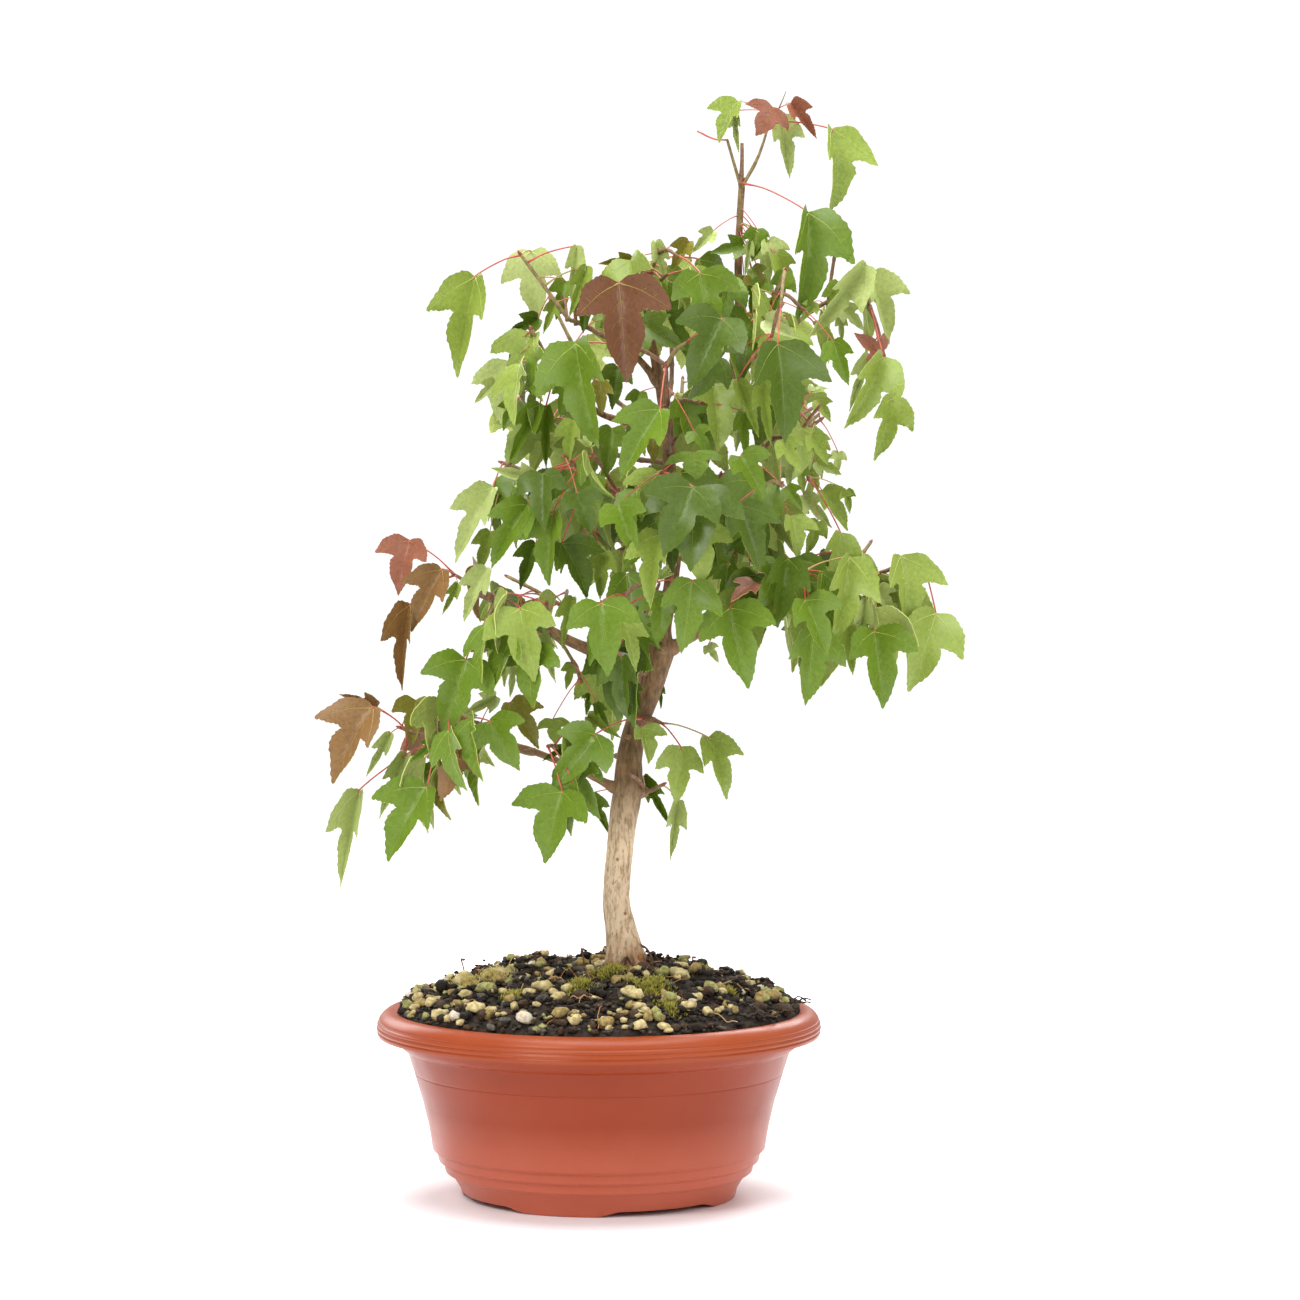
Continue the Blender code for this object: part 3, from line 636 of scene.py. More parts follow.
@dataclass
class Studio:
    """The plain pale floor, the soft lights and the camera at the photograph's angle."""

    aim: Triple = (23.0, 0.0, 246.0)
    distance: float = 2330.0
    pitch: float = 3.8
    lens: float = 144.0
    sensor: float = 36.0
    frame: float = 1300.0
    floor_radius: float = 1.6
    floor_sides: int = 96
    room_light: float = 0.58
    room_shown: float = 1.1
    light_aim: float = 0.22
    lights: tuple[tuple[str, Triple, float, float], ...] = (
        ("key", (-1.2, -1.7, 1.9), 1.1, 34.0),
        ("fill", (1.6, -1.7, 1.2), 1.2, 12.0),
        ("top", (0.1, 0.1, 2.1), 1.9, 68.0),
        ("rim", (0.7, 1.7, 1.3), 1.0, 16.0),
        ("back", (-1.1, 1.6, 1.0), 1.0, 12.0),
    )

    def eye(self) -> Vector:
        """Return the camera's place."""
        tilt = math.radians(self.pitch)
        return Vector(self.aim) + self.distance * Vector((0, -math.cos(tilt), math.sin(tilt)))

    def through(self, pixel: Pair, depth: float) -> Vector:
        """Return the point seen at a pixel of the photograph, at a depth behind the bowl's axis.

        Args:
            pixel: Pixels from the left and from the top.
            depth: How far behind the axis, along Y.

        Returns:
            The point.
        """
        tilt = math.radians(self.pitch)
        reach = self.frame * self.lens / self.sensor
        ahead = Vector((0, math.cos(tilt), -math.sin(tilt)))
        over = Vector((0, math.sin(tilt), math.cos(tilt)))
        across = Vector((pixel[0] - 0.5 * self.frame, 0, 0))
        ray = reach * ahead + across - over * (pixel[1] - 0.5 * self.frame)
        eye = self.eye()
        return eye + ray * ((depth - eye.y) / ray.y)

    def pixel(self, point: Vector) -> Pair:
        """Return where a point shows in the photograph's frame.

        Args:
            point: The point.

        Returns:
            Pixels from the left and from the top.
        """
        tilt = math.radians(self.pitch)
        ray = point - self.eye()
        deep = ray.y * math.cos(tilt) - ray.z * math.sin(tilt)
        high = ray.y * math.sin(tilt) + ray.z * math.cos(tilt)
        reach = self.frame * self.lens / self.sensor
        return 0.5 * self.frame + reach * ray.x / deep, 0.5 * self.frame - reach * high / deep

    def build(self) -> None:
        """Make the floor, the light and the camera."""
        self.set_camera()
        self.lay_floor()
        self.hang_lights()

    def set_camera(self) -> None:
        """Add the camera and make it the scene's."""
        data = bpy.data.cameras.new("camera")
        data.lens = self.lens
        data.sensor_width = self.sensor
        data.clip_end = 50.0
        camera = bpy.data.objects.new("camera", data)
        camera.location = Draft.axis + MM * self.eye()
        camera.rotation_euler = (math.radians(90.0 - self.pitch), 0, 0)
        bpy.context.scene.collection.objects.link(camera)
        bpy.context.scene.camera = camera

    def lay_floor(self) -> None:
        """Lay a pale round floor."""
        radius = self.floor_radius
        turns = [2 * math.pi * step / self.floor_sides for step in range(self.floor_sides)]
        corners = [(radius * math.cos(turn), radius * math.sin(turn), 0.0) for turn in turns]
        mesh = bpy.data.meshes.new("floor")
        mesh.from_pydata(corners, [], [tuple(range(len(corners)))])
        floor = bpy.data.objects.new("floor", mesh)
        bpy.context.scene.collection.objects.link(floor)
        sketch = Sketch("floor_paper")
        sketch.colour((0.92, 0.925, 0.945))
        sketch.roughness(0.6)
        sketch.gloss(0.2)
        mesh.materials.append(sketch.material)

    def hang_lights(self) -> None:
        """Hang the soft boxes round the plant and light the room's air."""
        for name, place, size, power in self.lights:
            data = bpy.data.lights.new(name, "AREA")
            data.shape = "DISK"
            data.size = size
            data.energy = power
            light = bpy.data.objects.new(name, data)
            light.location = place
            aim = Vector((0.0, 0.0, self.light_aim)) - Vector(place)
            light.rotation_euler = aim.to_track_quat("-Z", "Y").to_euler()
            bpy.context.scene.collection.objects.link(light)
        world = bpy.data.worlds.new("room")
        world.use_nodes = True
        nodes = world.node_tree.nodes
        lighting = nodes["Background"]
        shown = nodes.new("ShaderNodeBackground")
        for back, strength in ((lighting, self.room_light), (shown, self.room_shown)):
            back.inputs["Color"].default_value = (1.0, 1.0, 1.0, 1.0)
            back.inputs["Strength"].default_value = strength
        choice = nodes.new("ShaderNodeMixShader")
        links = world.node_tree.links
        links.new(nodes.new("ShaderNodeLightPath").outputs["Is Camera Ray"], choice.inputs["Fac"])
        links.new(lighting.outputs["Background"], choice.inputs[1])
        links.new(shown.outputs["Background"], choice.inputs[2])
        links.new(choice.outputs["Shader"], nodes["World Output"].inputs["Surface"])
        bpy.context.scene.world = world
        bpy.context.scene.view_settings.view_transform = "Standard"


@dataclass
class Bowl:
    """The moulded bowl: base ring with four feet, three low ridges, flaring wall, collar and grooved rim."""

    segments: int = 192
    foot_azimuth: float = -106.0
    foot_height: float = 2.4
    foot_flat: float = 15.7
    foot_full: float = 24.5
    ring_radius: float = 64.0
    rim_radius: float = 100.0
    rim_top: float = 84.4
    rim_centre: Pair = (92.4, 76.2)
    rim_start: float = -22.0
    rim_turn: float = 112.0
    rim_steps: int = 44
    corner: float = 0.7
    groove_depth: float = 0.5
    groove_width: float = 0.45
    grooves: tuple[float, ...] = (75.2, 77.3, 79.4)
    drain_radius: float = 4.5
    drain_circle: float = 34.0
    drains: int = 4
    base: Profile = ((50.0, 2.4), (54.0, 0.0), (61.5, 0.0), (62.4, 4.0))
    wall: Profile = (
        (66.3, 10.3), (69.2, 11.4), (70.0, 15.3), (72.2, 16.3), (73.0, 20.3), (75.0, 21.6), (75.6, 26.0),
        (76.6, 32.0), (79.2, 43.0), (81.3, 50.0), (83.1, 56.2), (82.95, 56.6), (83.3, 57.0), (84.6, 61.0),
        (86.1, 65.6), (86.6, 67.0), (88.6, 67.6), (90.0, 69.5), (91.0, 72.2), (97.6, 73.5),
    )
    inside: Profile = (
        (90.6, 83.7), (89.9, 81.5), (84.3, 66.5), (76.7, 43.5), (72.5, 24.5), (63.5, 9.0), (54.0, 5.2),
        (20.0, 4.8),
    )

    def rim(self) -> list[Pair]:
        """Draw the rim's outer round from its lower edge to its top, with its fine grooves.

        Returns:
            Radius and height of its points.
        """
        rows = []
        across, up = self.rim_centre
        for step in range(self.rim_steps + 1):
            turn = math.radians(self.rim_start + self.rim_turn * step / self.rim_steps)
            radius = across + (self.rim_radius - across) * math.cos(turn)
            height = up + (self.rim_top - up) * math.sin(turn)
            cut = sum(math.exp(-(((height - groove) / self.groove_width) ** 2)) for groove in self.grooves)
            rows.append((radius - self.groove_depth * cut, height))
        return rows

    def rounded(self, profile: Profile) -> list[Pair]:
        """Return a profile with its corners rounded off.

        Args:
            profile: Radius and height of each corner.

        Returns:
            The same with three points at each inner corner.
        """
        rows = [profile[0]]
        for before, here, after in zip(profile, profile[1:], profile[2:]):
            a, b, c = (Vector(row) for row in (before, here, after))
            near = b + (a - b) * min(self.corner / (a - b).length, 0.4)
            far = b + (c - b) * min(self.corner / (c - b).length, 0.4)
            rows += [tuple(near), tuple((near + 2 * b + far) / 4), tuple(far)]
        return [*rows, profile[-1]]

    def lift(self, degrees: float) -> float:
        """Return how far the base ring is off the floor: nothing on a foot, more between two feet.

        Args:
            degrees: The azimuth.

        Returns:
            The height.
        """
        offset = (degrees - self.foot_azimuth + 45.0) % 90.0 - 45.0
        part = (abs(offset) - self.foot_flat) / (self.foot_full - self.foot_flat)
        return self.foot_height * min(1.0, max(0.0, part))

    def build(self) -> None:
        """Make the bowl and cut its drain holes."""
        base = self.rounded(self.base)
        profile = [*base, *self.rounded((self.base[-1], *self.wall))[1:], *self.rim()]
        profile += self.rounded(self.inside)
        draft = Draft()
        rows = []
        for radius, height in profile:
            for step in range(self.segments):
                degrees = 360.0 * step / self.segments
                turn = math.radians(degrees)
                lifted = height
                if height < self.foot_height and radius < self.ring_radius:
                    lifted = max(height, self.lift(degrees))
                rows.append((radius * math.cos(turn), radius * math.sin(turn), lifted))
        faces = ring_faces(len(profile), self.segments)
        faces.append(tuple(range(len(rows) - self.segments, len(rows))))
        draft.add(np.array(rows), faces)
        bowl = draft.make("moulded_bowl", [Terracotta().make()], "terracotta_plastic", 50.0)
        self.drill(bowl)
        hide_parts("pot")

    def drill(self, bowl: bpy.types.Object) -> None:
        """Cut the drain holes through the bowl's floor.

        Args:
            bowl: The bowl.
        """
        draft = Draft()
        for hole in range(self.drains):
            turn = math.radians(self.foot_azimuth + 360.0 * (hole + 0.5) / self.drains)
            foot = polar(self.drain_circle, turn, -5.0)
            add_tube(draft, [foot, foot + 20.0 * UP], [self.drain_radius] * 2, 32)
        cutter = draft.make("drain_cutter", [], "terracotta_plastic")
        cut = bowl.modifiers.new("drains", "BOOLEAN")
        cut.operation = "DIFFERENCE"
        cut.object = cutter
        bpy.context.view_layer.update()
        graph = bpy.context.evaluated_depsgraph_get()
        mesh = bpy.data.meshes.new_from_object(bowl.evaluated_get(graph))
        bowl.modifiers.clear()
        bowl.data = mesh
        bpy.data.objects.remove(cutter, do_unlink=True)


@dataclass
class Bed:
    """The mounded potting mix: dark crumbs, pale pumice, moss, fibres, rootlets and moss stalks."""

    top: float = 101.0
    flat: float = 25.0
    drop: float = 18.0
    fall: float = 1.7
    radius: float = 90.3
    segments: int = 150
    rings: int = 46
    relief: float = 1.6
    clod_rise: float = 4.2
    clod_uneven: float = 0.35
    clod_turn: float = 2.4
    clod_sides: int = 18
    clod_rings: int = 4
    azimuth: float = -106.0
    crumbs: int = 3400
    clumps: int = 60
    clump_crumbs: int = 22
    pumice: int = 430
    fine_from: float = 2.55
    fibres: int = 80
    rootlets: int = 22
    seed: int = 7
    foot: Pair = (12.3, 0.0)
    foot_radius: float = 12.0
    flank: Profile = ((52.0, 7.2), (60.5, 9.6), (71.0, 25.2), (75.5, 44.2), (83.0, 67.0))
    edge_height: float = 86.5
    edge_radius: float = 88.0
    overhang_from: float = 84.0
    fibre_steps: int = 6
    sink: float = 0.6
    edge_gap: float = 0.4
    calm: float = 0.2
    stalk_radius: float = 0.32
    tufts: tuple[tuple[float, float, float, int], ...] = (
        (5.0, -30.0, 11.0, 700), (-8.0, -48.0, 9.0, 380), (23.0, -46.0, 12.0, 900), (31.0, -64.0, 7.0, 240),
        (-36.0, -50.0, 8.0, 240), (16.0, -14.0, 9.0, 300), (-44.0, -12.0, 9.0, 260), (46.0, 10.0, 6.0, 120),
        (-30.0, 34.0, 8.0, 220), (18.0, 44.0, 7.0, 180), (58.0, -30.0, 5.0, 90), (-62.0, 28.0, 6.0, 120),
        (-58.0, -12.0, 10.0, 320), (-48.0, -22.0, 9.0, 240),
    )
    straw: float = -40.0
    outward: float = 0.46
    stalks: tuple[Triple, ...] = (
        (-61.0, 2.0, 10.0), (-57.0, -3.0, 7.5), (-29.0, 4.0, 8.0), (-7.0, 4.0, 10.0), (42.0, 2.0, 8.0),
    )

    balls: list[tuple[np.ndarray, list]] = field(default_factory=list)
    rng: random.Random = field(init=False)

    def __post_init__(self) -> None:
        """Make the two small balls of triangles that the lumps are shaped from, and the random source."""
        self.rng = random.Random(self.seed)
        for level in (1, 2):
            mesh = bmesh.new()
            bmesh.ops.create_icosphere(mesh, subdivisions=level, radius=1.0)
            points = np.array([tuple(v.co) for v in mesh.verts])
            self.balls.append((points, [[v.index for v in f.verts] for f in mesh.faces]))
            mesh.free()

    def surface(self, x: float, y: float) -> float:
        """Return the height of the mix at a place, without its crumbs.

        Args:
            x: Place to the right.
            y: Place to the back.

        Returns:
            The height.
        """
        part = max(0.0, (math.hypot(x, y) - self.flat) / (self.radius - self.flat))
        return self.top - self.drop * min(1.1, part) ** self.fall + self.clod(x, y, part)

    def clod(self, x: float, y: float, part: float) -> float:
        """Return how far the mix swells at a place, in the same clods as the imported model.

        Args:
            x: Place to the right.
            y: Place to the back.
            part: How far down the slope it is, from 0 to 1.

        Returns:
            The added height.
        """
        if not 0.0 < part < 1.0:
            return 0.0
        ring = (1.0 - part) * self.clod_rings
        step = (math.degrees(math.atan2(y, x)) - self.azimuth) % 360.0 / 360.0 * self.clod_sides
        order = int(ring) * self.clod_sides + int(step)
        swell = math.sin(math.pi * (ring % 1.0)) * math.sin(math.pi * (step % 1.0))
        return self.clod_rise * (1.0 + self.clod_uneven * math.sin(self.clod_turn * order)) * swell**0.8

    def build(self) -> None:
        """Make the mound and everything on it."""
        self.heap_mound()
        self.scatter_crumbs()
        self.scatter_pumice()
        self.plant_moss()
        self.lay_fibres()

    def heap_mound(self) -> None:
        """Make the rough mound that fills the bowl."""
        rows = []
        for radius, height in self.flank:
            for step in range(self.segments):
                turn = 2 * math.pi * step / self.segments
                rows.append((radius * math.cos(turn), radius * math.sin(turn), height))
        for ring in range(self.rings):
            radius = self.radius * (1.0 - ring / self.rings) - (0.0 if ring else self.edge_gap)
            for step in range(self.segments):
                turn = 2 * math.pi * (step + 0.5 * (ring % 2)) / self.segments
                x = radius * math.cos(turn)
                y = radius * math.sin(turn)
                rough = noise.noise(Vector((x / 2.1, y / 2.1, 0.0)))
                rough += 0.6 * noise.noise(Vector((x / 5.0, y / 5.0, 9.0)))
                near = math.hypot(x - self.foot[0], y - self.foot[1]) < self.foot_radius
                swell = self.relief * (self.calm if near else 1.0) * rough
                rows.append((x, y, self.surface(x, y) + swell - self.sink))
        faces = ring_faces(len(self.flank) + self.rings, self.segments)
        top = len(rows)
        last = top - self.segments
        rows.append((0.0, 0.0, self.surface(0.0, 0.0)))
        faces += [(last + step, last + (step + 1) % self.segments, top) for step in range(self.segments)]
        draft = Draft()
        draft.add(np.array(rows), faces)
        finish = Plain("soil_dark", (0.012, 0.009, 0.007), (0.045, 0.032, 0.022), 420.0, 0.9, 0.0008, 0.25)
        mound = draft.make("soil_mound", [finish.make()], "potting_soil")
        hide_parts("soil")

    def lump(self, size: float, long: float) -> tuple[np.ndarray, list]:
        """Return an irregular lump about the origin.

        Args:
            size: Its mean width.
            long: How much longer than wide it may be.

        Returns:
            Its points and faces.
        """
        rng = self.rng
        points, faces = self.balls[1 if size > self.fine_from else 0]
        shift = Vector((rng.uniform(0, 99), rng.uniform(0, 99), rng.uniform(0, 99)))
        rough = [1.0 + 0.55 * noise.noise(1.3 * Vector(p) + shift) for p in points]
        shaped = points * np.array(rough)[:, None]
        shaped = shaped * np.array([1.0, rng.uniform(0.65, 1.0), rng.uniform(0.6, 0.9)]) * 0.5 * size
        shaped[:, 0] *= rng.uniform(1.0, long)
        turn = Matrix.Rotation(rng.uniform(0, 6.28), 3, "Z") @ Matrix.Rotation(rng.gauss(0, 0.4), 3, "X")
        return shaped @ np.array(turn).T, faces

    def spot(self, most: float = 89.0) -> Pair:
        """Return a random place on the mound, clear of the trunk's foot.

        Args:
            most: The furthest from the bowl's axis.

        Returns:
            The place.
        """
        while True:
            radius = most * self.rng.random() ** self.outward
            turn = self.rng.uniform(0, 2 * math.pi)
            x = radius * math.cos(turn)
            y = radius * math.sin(turn)
            if math.hypot(x - self.foot[0], y - self.foot[1]) > self.foot_radius:
                return x, y

    def scatter_crumbs(self) -> None:
        """Scatter dark crumbs of peat and bark."""
        rng = self.rng
        draft = Draft()
        for _ in range(self.crumbs):
            x, y = self.spot()
            size = min(6.0, 1.1 + rng.expovariate(0.95))
            points, faces = self.lump(size, 1.8)
            lift = self.surface(x, y) + rng.uniform(-0.1, 0.35) * size
            draft.add(points + np.array((x, y, lift)), faces, rng.choice((0, 0, 0, 1, 1, 2)))
        for _ in range(self.clumps):
            x, y = self.spot(82.0)
            wide = rng.uniform(2.6, 5.0)
            for _ in range(self.clump_crumbs):
                out = Vector((rng.gauss(0, 1), rng.gauss(0, 1), abs(rng.gauss(0, 0.7)))) * 0.5 * wide
                points, faces = self.lump(rng.uniform(1.2, 2.4), 1.8)
                shift = np.array((x + out.x, y + out.y, self.surface(x + out.x, y + out.y) + out.z))
                draft.add(points + shift, faces, rng.choice((0, 0, 0, 1)))
        finishes = {
            "crumb_black": ((0.010, 0.008, 0.006), (0.035, 0.024, 0.017)),
            "crumb_brown": ((0.035, 0.020, 0.011), (0.085, 0.05, 0.028)),
            "crumb_grey": ((0.06, 0.052, 0.04), (0.13, 0.11, 0.085)),
        }
        draft.make("soil_crumbs", shades(finishes, 900.0, 0.85, 0.0006, 0.3), "potting_soil")

    def scatter_pumice(self) -> None:
        """Scatter pale pumice grains, thicker at the front and the left."""
        rng = self.rng
        draft = Draft()
        placed = 0
        while placed < self.pumice:
            x, y = self.spot()
            crowd = 1.4 * noise.noise(Vector((x / 15.0, y / 15.0, 5.0))) - 0.3 * x / 90.0 - 0.25 * y / 90.0
            if crowd < rng.uniform(-0.35, 0.4):
                continue
            size = rng.triangular(1.5, 7.8, 2.8)
            points, faces = self.lump(size, 1.5)
            lift = self.surface(x, y) + rng.uniform(0.15, 0.42) * size
            draft.add(points + np.array((x, y, lift)), faces, rng.choice((0, 0, 0, 1, 1, 1, 2, 3, 3)))
            placed += 1
        finishes = {
            "pumice_cream": ((0.40, 0.31, 0.12), (0.66, 0.55, 0.29)),
            "pumice_tan": ((0.21, 0.145, 0.05), (0.40, 0.29, 0.11)),
            "pumice_white": ((0.48, 0.40, 0.28), (0.70, 0.63, 0.50)),
            "pumice_mossy": ((0.21, 0.205, 0.055), (0.40, 0.38, 0.15)),
        }
        draft.make("pumice_grains", shades(finishes, 600.0, 0.9, 0.0006, 0.3), "potting_soil")

    def plant_moss(self) -> None:
        """Plant the moss tufts as many short pointed blades, and a few capped stalks."""
        rng = self.rng
        draft = Draft()
        for x, y, reach, blades in self.tufts:
            for _ in range(blades):
                out = reach * abs(rng.gauss(0, 0.45))
                turn = rng.uniform(0, 2 * math.pi)
                foot_x = x + out * math.cos(turn)
                foot_y = y + out * math.sin(turn)
                pile = 3.6 * math.exp(-((out / reach) ** 2) * 1.5)
                foot = Vector((foot_x, foot_y, self.surface(foot_x, foot_y) - 0.3))
                lean = Vector((rng.gauss(0, 0.5), rng.gauss(0, 0.5), 1.0)).normalized()
                tip = foot + lean * (pile + rng.uniform(1.0, 2.4))
                side = 0.34 * lean.orthogonal().normalized()
                other = lean.cross(side)
                middle = foot.lerp(tip, 0.55)
                points = [foot + 0.6 * side, foot - 0.3 * side + 0.5 * other, foot - 0.3 * side - 0.5 * other]
                points += [middle + side, middle - 0.5 * side + 0.8 * other]
                points += [middle - 0.5 * side - 0.8 * other, tip]
                faces = [[0, 2, 1], [0, 1, 4, 3], [1, 2, 5, 4], [2, 0, 3, 5], [3, 4, 6], [4, 5, 6], [5, 3, 6]]
                shade = 2 if x < self.straw else rng.choice((0, 0, 1))
                draft.add(np.array([tuple(p) for p in points]), faces, shade)
        finishes = {
            "moss_olive": ((0.20, 0.18, 0.02), (0.38, 0.34, 0.05)),
            "moss_dark": ((0.09, 0.085, 0.012), (0.19, 0.17, 0.025)),
            "moss_straw": ((0.36, 0.28, 0.075), (0.56, 0.45, 0.17)),
        }
        draft.make("moss_tufts", shades(finishes, 500.0, 0.8, 0.0, 0.3), "potting_soil")
        stems = Draft()
        for x, y, tall in self.stalks:
            foot = Vector((x, y, self.surface(x, y) - 0.5))
            tip = foot + Vector((rng.uniform(-2, 2), rng.uniform(-2, 2), tall))
            hook = tip + Vector((1.0, 0.0, -0.1))
            path = [foot, foot.lerp(tip, 0.5) + Vector((0.6, 0, 0.4)), tip, hook]
            run = smooth_run(path, 4)
            add_tube(stems, run, [self.stalk_radius] * len(run), 6)
            points, faces = self.balls[1]
            stems.add(points * np.array((0.8, 0.5, 0.6)) + np.array(tuple(hook)), faces, 1)
        pair = (
            Plain("stalk_red", (0.10, 0.035, 0.015), (0.17, 0.06, 0.025), 500.0, 0.6, 0.0),
            Plain("stalk_cap", (0.20, 0.045, 0.03), (0.30, 0.08, 0.05), 500.0, 0.5, 0.0),
        )
        stems.make("moss_stalks", [finish.make() for finish in pair], "potting_soil")

    def lay_fibres(self) -> None:
        """Lay thin fibres and rootlets over the mix, some over the bowl's rim at the right."""
        rng = self.rng
        draft = Draft()
        for order in range(self.fibres + self.rootlets):
            dark = order >= self.fibres
            if dark and order % 3:
                turn = rng.uniform(-0.75, 0.1)
                start = polar(self.overhang_from, turn)
                heading = polar(1.0, turn)
            else:
                start = Vector((*self.spot(80.0), 0))
                heading = Vector((rng.gauss(0, 1), rng.gauss(0, 1), 0)).normalized()
            long = rng.uniform(7.0, 13.0) if dark else rng.uniform(6.0, 22.0)
            path = []
            place = start.copy()
            bend = rng.gauss(0, 0.35)
            for step in range(self.fibre_steps + 1):
                ground = self.surface(place.x, place.y)
                if math.hypot(place.x, place.y) > self.edge_radius:
                    ground = max(ground, self.edge_height)
                lift = ground + 1.0 + (1.6 if 0 < step < self.fibre_steps else 0.2) * rng.random()
                path.append(Vector((place.x, place.y, lift)))
                heading = Matrix.Rotation(bend + rng.gauss(0, 0.15), 3, "Z") @ heading
                place += heading * long / self.fibre_steps
            thick = rng.uniform(0.28, 0.5) if dark else rng.uniform(0.14, 0.26)
            run = smooth_run(path, 3)
            add_tube(draft, run, [thick] * len(run), 5, 1 if dark else rng.choice((0, 0, 2)))
        finishes = (
            Plain("fibre_tan", (0.42, 0.24, 0.10), (0.55, 0.34, 0.16), 500.0, 0.7, 0.0),
            Plain("rootlet_dark", (0.02, 0.013, 0.009), (0.06, 0.04, 0.025), 500.0, 0.8, 0.0),
            Plain("fibre_orange", (0.38, 0.15, 0.04), (0.50, 0.22, 0.07), 500.0, 0.7, 0.0),
        )
        draft.make("soil_fibres", [finish.make() for finish in finishes], "potting_soil")


@dataclass(frozen=True)
class Bough:
    """A tapering limb from a point of its parent, by height, through optional bends to its tip."""

    name: str
    parent: str
    height: float
    tip: Triple
    root_radius: float
    tip_radius: float
    via: tuple[Triple, ...] = ()


BOUGHS = (
    Bough("low_left_limb", "trunk", 181, (-52, -4, 206), 1.9, 1.2, ((-6, -2, 191), (-33, -4, 202))),
    Bough("low_left_spur", "low_left_limb", 193, (-16, -17, 200), 1.2, 0.9),
    Bough("low_left_side", "low_left_limb", 200.5, (-40, -19, 207), 1.2, 0.9),
    Bough("mid_left_limb", "trunk", 242, (-53, -6, 271), 2.1, 1.2, ((-5, -4, 248), (-24, -5, 257))),
    Bough("mid_left_front_bough", "trunk", 236, (-16, -28, 252), 1.8, 1.0),
    Bough("mid_left_back_bough", "trunk", 240, (-8, 28, 258), 1.8, 1.0),
    Bough("low_back_bough", "trunk", 222, (18, 30, 238), 1.7, 1.0),
    Bough("right_arm", "trunk", 244, (100, -4, 275), 2.5, 1.3, ((45, -1, 254), (56, -3, 265), (79, -4, 272))),
    Bough("right_arm_front_bough", "right_arm", 262, (66, -26, 274), 1.5, 1.0),
    Bough("right_arm_back_bough", "right_arm", 266, (72, 24, 276), 1.5, 1.0),
    Bough("centre_front_bough", "trunk", 284, (27, -32, 308), 1.7, 1.0),
    Bough("centre_back_bough", "trunk", 280, (29, 36, 304), 1.7, 1.0),
    Bough("left_limb", "trunk", 300, (-18, -2, 322), 1.9, 1.1),
    Bough("right_shoulder_bough", "leader", 320, (78, -10, 341), 1.7, 1.1, ((62, -8, 327),)),
    Bough("right_back_bough", "leader", 316, (72, 28, 336), 1.6, 1.0),
    Bough("left_upper_limb", "trunk", 344, (-14, -5, 364), 2.0, 1.1, ((14, -1, 348), (1, -3, 352))),
    Bough("fork_left", "trunk", 364, (-6, -5, 391), 1.8, 1.1, ((15, -2, 379),)),
    Bough("upper_right_bough", "leader", 372, (88, -6, 392), 1.6, 1.0),
)


